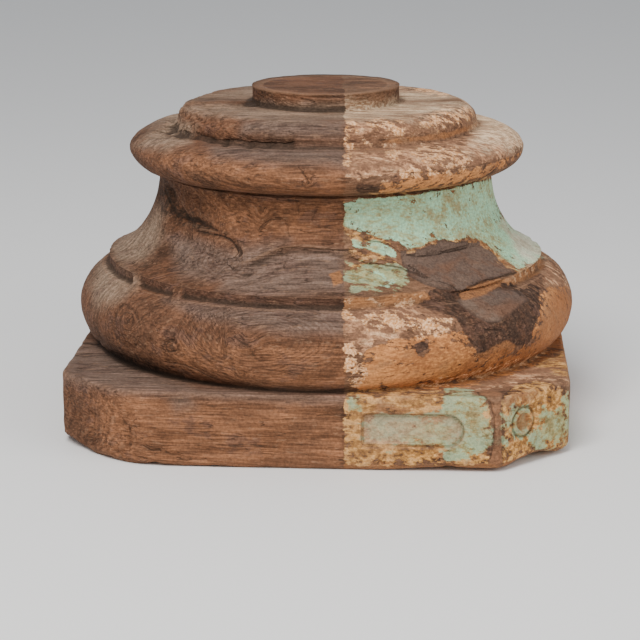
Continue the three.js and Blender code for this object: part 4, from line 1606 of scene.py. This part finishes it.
def dirt_wear_and_painted_shade(bench, colour):
    bare = bench.maths("MAXIMUM", bench.facet, bench.cover["stain"])
    on_paint = bench.times(bench.right, bench.without(bare))
    colour = bench.lay(colour, PATINA, bench.step(bench.mottling, 0.5, 0.62), on_paint, 0.4)
    haze = bench.lay(PATINA, FLECK_PALE, bench.streaks)
    colour = bench.lay(colour, haze, bench.step(bench.patches, 0.45, 0.65), on_paint, 0.2)
    soot = bench.step(bench.flakes, 0.42, 0.55, 0.95, 0.25)
    colour = bench.lay(colour, SOOT_AND_SHADE_BLACK, bench.temper("soot", 3.0, 22.0), soot)
    # Fine dirt and painted shade in the creases, broad painted shade in the hollows
    in_hollow = bench.step(bench.read("hollow"), 0.08, 0.7, 0.0, 0.6)
    in_valley = bench.step(bench.read("valley"), 1.0, 4.5, 0.0, 0.3)
    dirt_and_painted_shade = bench.maths("ADD", in_hollow, in_valley, clamp=True)
    colour = bench.lay(colour, SOOT_AND_SHADE_BLACK, dirt_and_painted_shade, bench.plus(bench.right, -LESS_DIRT_AND_SHADE_ON_PAINT, 1.0))
    rubbed = bench.step(bench.read("hollow"), -0.12, -0.5, 0.0, 0.3)
    colour = bench.lay(colour, FLECK_PALE, rubbed, bench.off_facet)
    speckle = bench.lay(SPECK_DARK, SPECK_LIGHT, bench.step(bench.specks, 0.32, 0.68))
    colour = bench.blend(colour, speckle, 1.0, "MULTIPLY")
    # Cracks and painted shadow lines darkened
    return bench.lay(colour, SOOT_AND_SHADE_BLACK, bench.crack_and_shadow_mark, 0.75)


print("patina on the paint is", PATINA)

# %% [markdown]
# The same masks raise the paint a hair above the wood in the bump and hide most of the grain
# under it. Cracks, checks, knot rings and grooves sink in. The shine is dull and the same all
# over, because both the wood and the paint are dry and chalky.

# %% Wood and paint
ROUGHNESS = 0.82
SHINE = 0.18
BUMP_STRENGTH = 0.85
BUMP_HEIGHT = 1.0 * MM
STREAK_RELIEF = 0.55
HIDDEN_BY_PAINT = 0.75

# How far each part of the finish stands out in mm, or sinks in
RELIEF = {
    "paint": 0.55,
    "chips": 0.7,
    "specks": 0.45,
    "checks": -0.7,
    "cracks": -1.6,
    "knots": -0.8,
    "grooves": -1.2,
}


def relief(bench):
    """The height of the finish in millimetres."""
    paint = bench.cover["tan"]
    for name in ("cream", "ochre", "turquoise"):
        paint = bench.maths("MAXIMUM", paint, bench.cover[name])
    paint = bench.times(paint, bench.right)
    rise = bench.times(bench.streaks, bench.plus(paint, -HIDDEN_BY_PAINT, 1.0), STREAK_RELIEF)
    parts = {"paint": paint, "chips": bench.chips, "specks": bench.specks}
    parts["checks"] = bench.times(bench.checks, bench.without(paint))
    parts |= {"cracks": bench.crack_and_shadow_mark, "knots": bench.knot_line, "grooves": bench.groove}
    for name, part in parts.items():
        rise = bench.plus(part, RELIEF[name], rise)
    return rise


def make_wood_and_paint():
    material = bpy.data.materials.new("wood_and_paint")
    material.use_nodes = True
    shader = material.node_tree.nodes["Principled BSDF"]
    bench = Finish(material.node_tree)
    colour = bare_wood(bench)
    for stage in (broken_wood, paint_coats, chalk_highlight_and_flange, ornament, dirt_wear_and_painted_shade):
        colour = stage(bench, colour)
    bench.feed(shader.inputs["Base Color"], colour)
    bench.feed(shader.inputs["Roughness"], ROUGHNESS)
    bench.feed(shader.inputs["Specular IOR Level"], SHINE)
    bump = bench.place("ShaderNodeBump")
    bench.feed(bump.inputs["Strength"], BUMP_STRENGTH)
    bench.feed(bump.inputs["Distance"], BUMP_HEIGHT)
    bench.feed(bump.inputs["Height"], relief(bench))
    bench.feed(shader.inputs["Normal"], bump.outputs[0])
    return material


skin.materials.append(make_wood_and_paint())
print("material", skin.materials[0].name, "with", len(skin.materials[0].node_tree.nodes), "nodes")

# %% [markdown]
# A wide pale floor fills the picture behind the base. One broad light high in front of it and a
# pale surround give the soft, nearly shadowless light of the photograph.


# %% Floor and light
FLOOR_REACH = 6
FLOOR_COLOUR = (0.88, 0.86, 0.83, 1)
FLOOR_ROUGHNESS = 0.7
AIM = (0, 0, 0.12)
SKY_COLOUR = (0.9, 0.94, 1.0, 1)
SKY_STRENGTH = 0.55

# Lights by name, place, width in metres and power in watts
LIGHTS = [
    ("key", (-0.5, -1.5, 2.1), 1.2, 65),
    ("fill", (1.6, -1.0, 1.0), 1.4, 14),
]


def make_floor():
    bm = bmesh.new()
    bmesh.ops.create_grid(bm, x_segments=1, y_segments=1, size=FLOOR_REACH)
    mesh = bpy.data.meshes.new("floor")
    bm.to_mesh(mesh)
    bm.free()
    floor = bpy.data.objects.new("floor", mesh)
    bpy.context.scene.collection.objects.link(floor)
    material = bpy.data.materials.new("pale_floor")
    material.use_nodes = True
    shader = material.node_tree.nodes["Principled BSDF"]
    shader.inputs["Base Color"].default_value = FLOOR_COLOUR
    shader.inputs["Roughness"].default_value = FLOOR_ROUGHNESS
    mesh.materials.append(material)
    return floor


def make_light(name, place, size, power):
    data = bpy.data.lights.new(name, "AREA")
    data.size = size
    data.energy = power
    light = bpy.data.objects.new(name, data)
    light.location = place
    aim = Vector(AIM) - Vector(place)
    light.rotation_mode = "QUATERNION"
    light.rotation_quaternion = aim.to_track_quat("-Z", "Y")
    bpy.context.scene.collection.objects.link(light)
    return light


make_floor()
for light_settings in LIGHTS:
    make_light(*light_settings)
world = bpy.data.worlds.new("studio")
world.use_nodes = True
background = world.node_tree.nodes["Background"]
background.inputs["Color"].default_value = SKY_COLOUR
background.inputs["Strength"].default_value = SKY_STRENGTH
bpy.context.scene.world = world
print("lights:", ", ".join(settings[0] for settings in LIGHTS))

# %% [markdown]
# Last, the view layer is brought up to date.

# %% Bring the view layer up to date
bpy.context.view_layer.update()
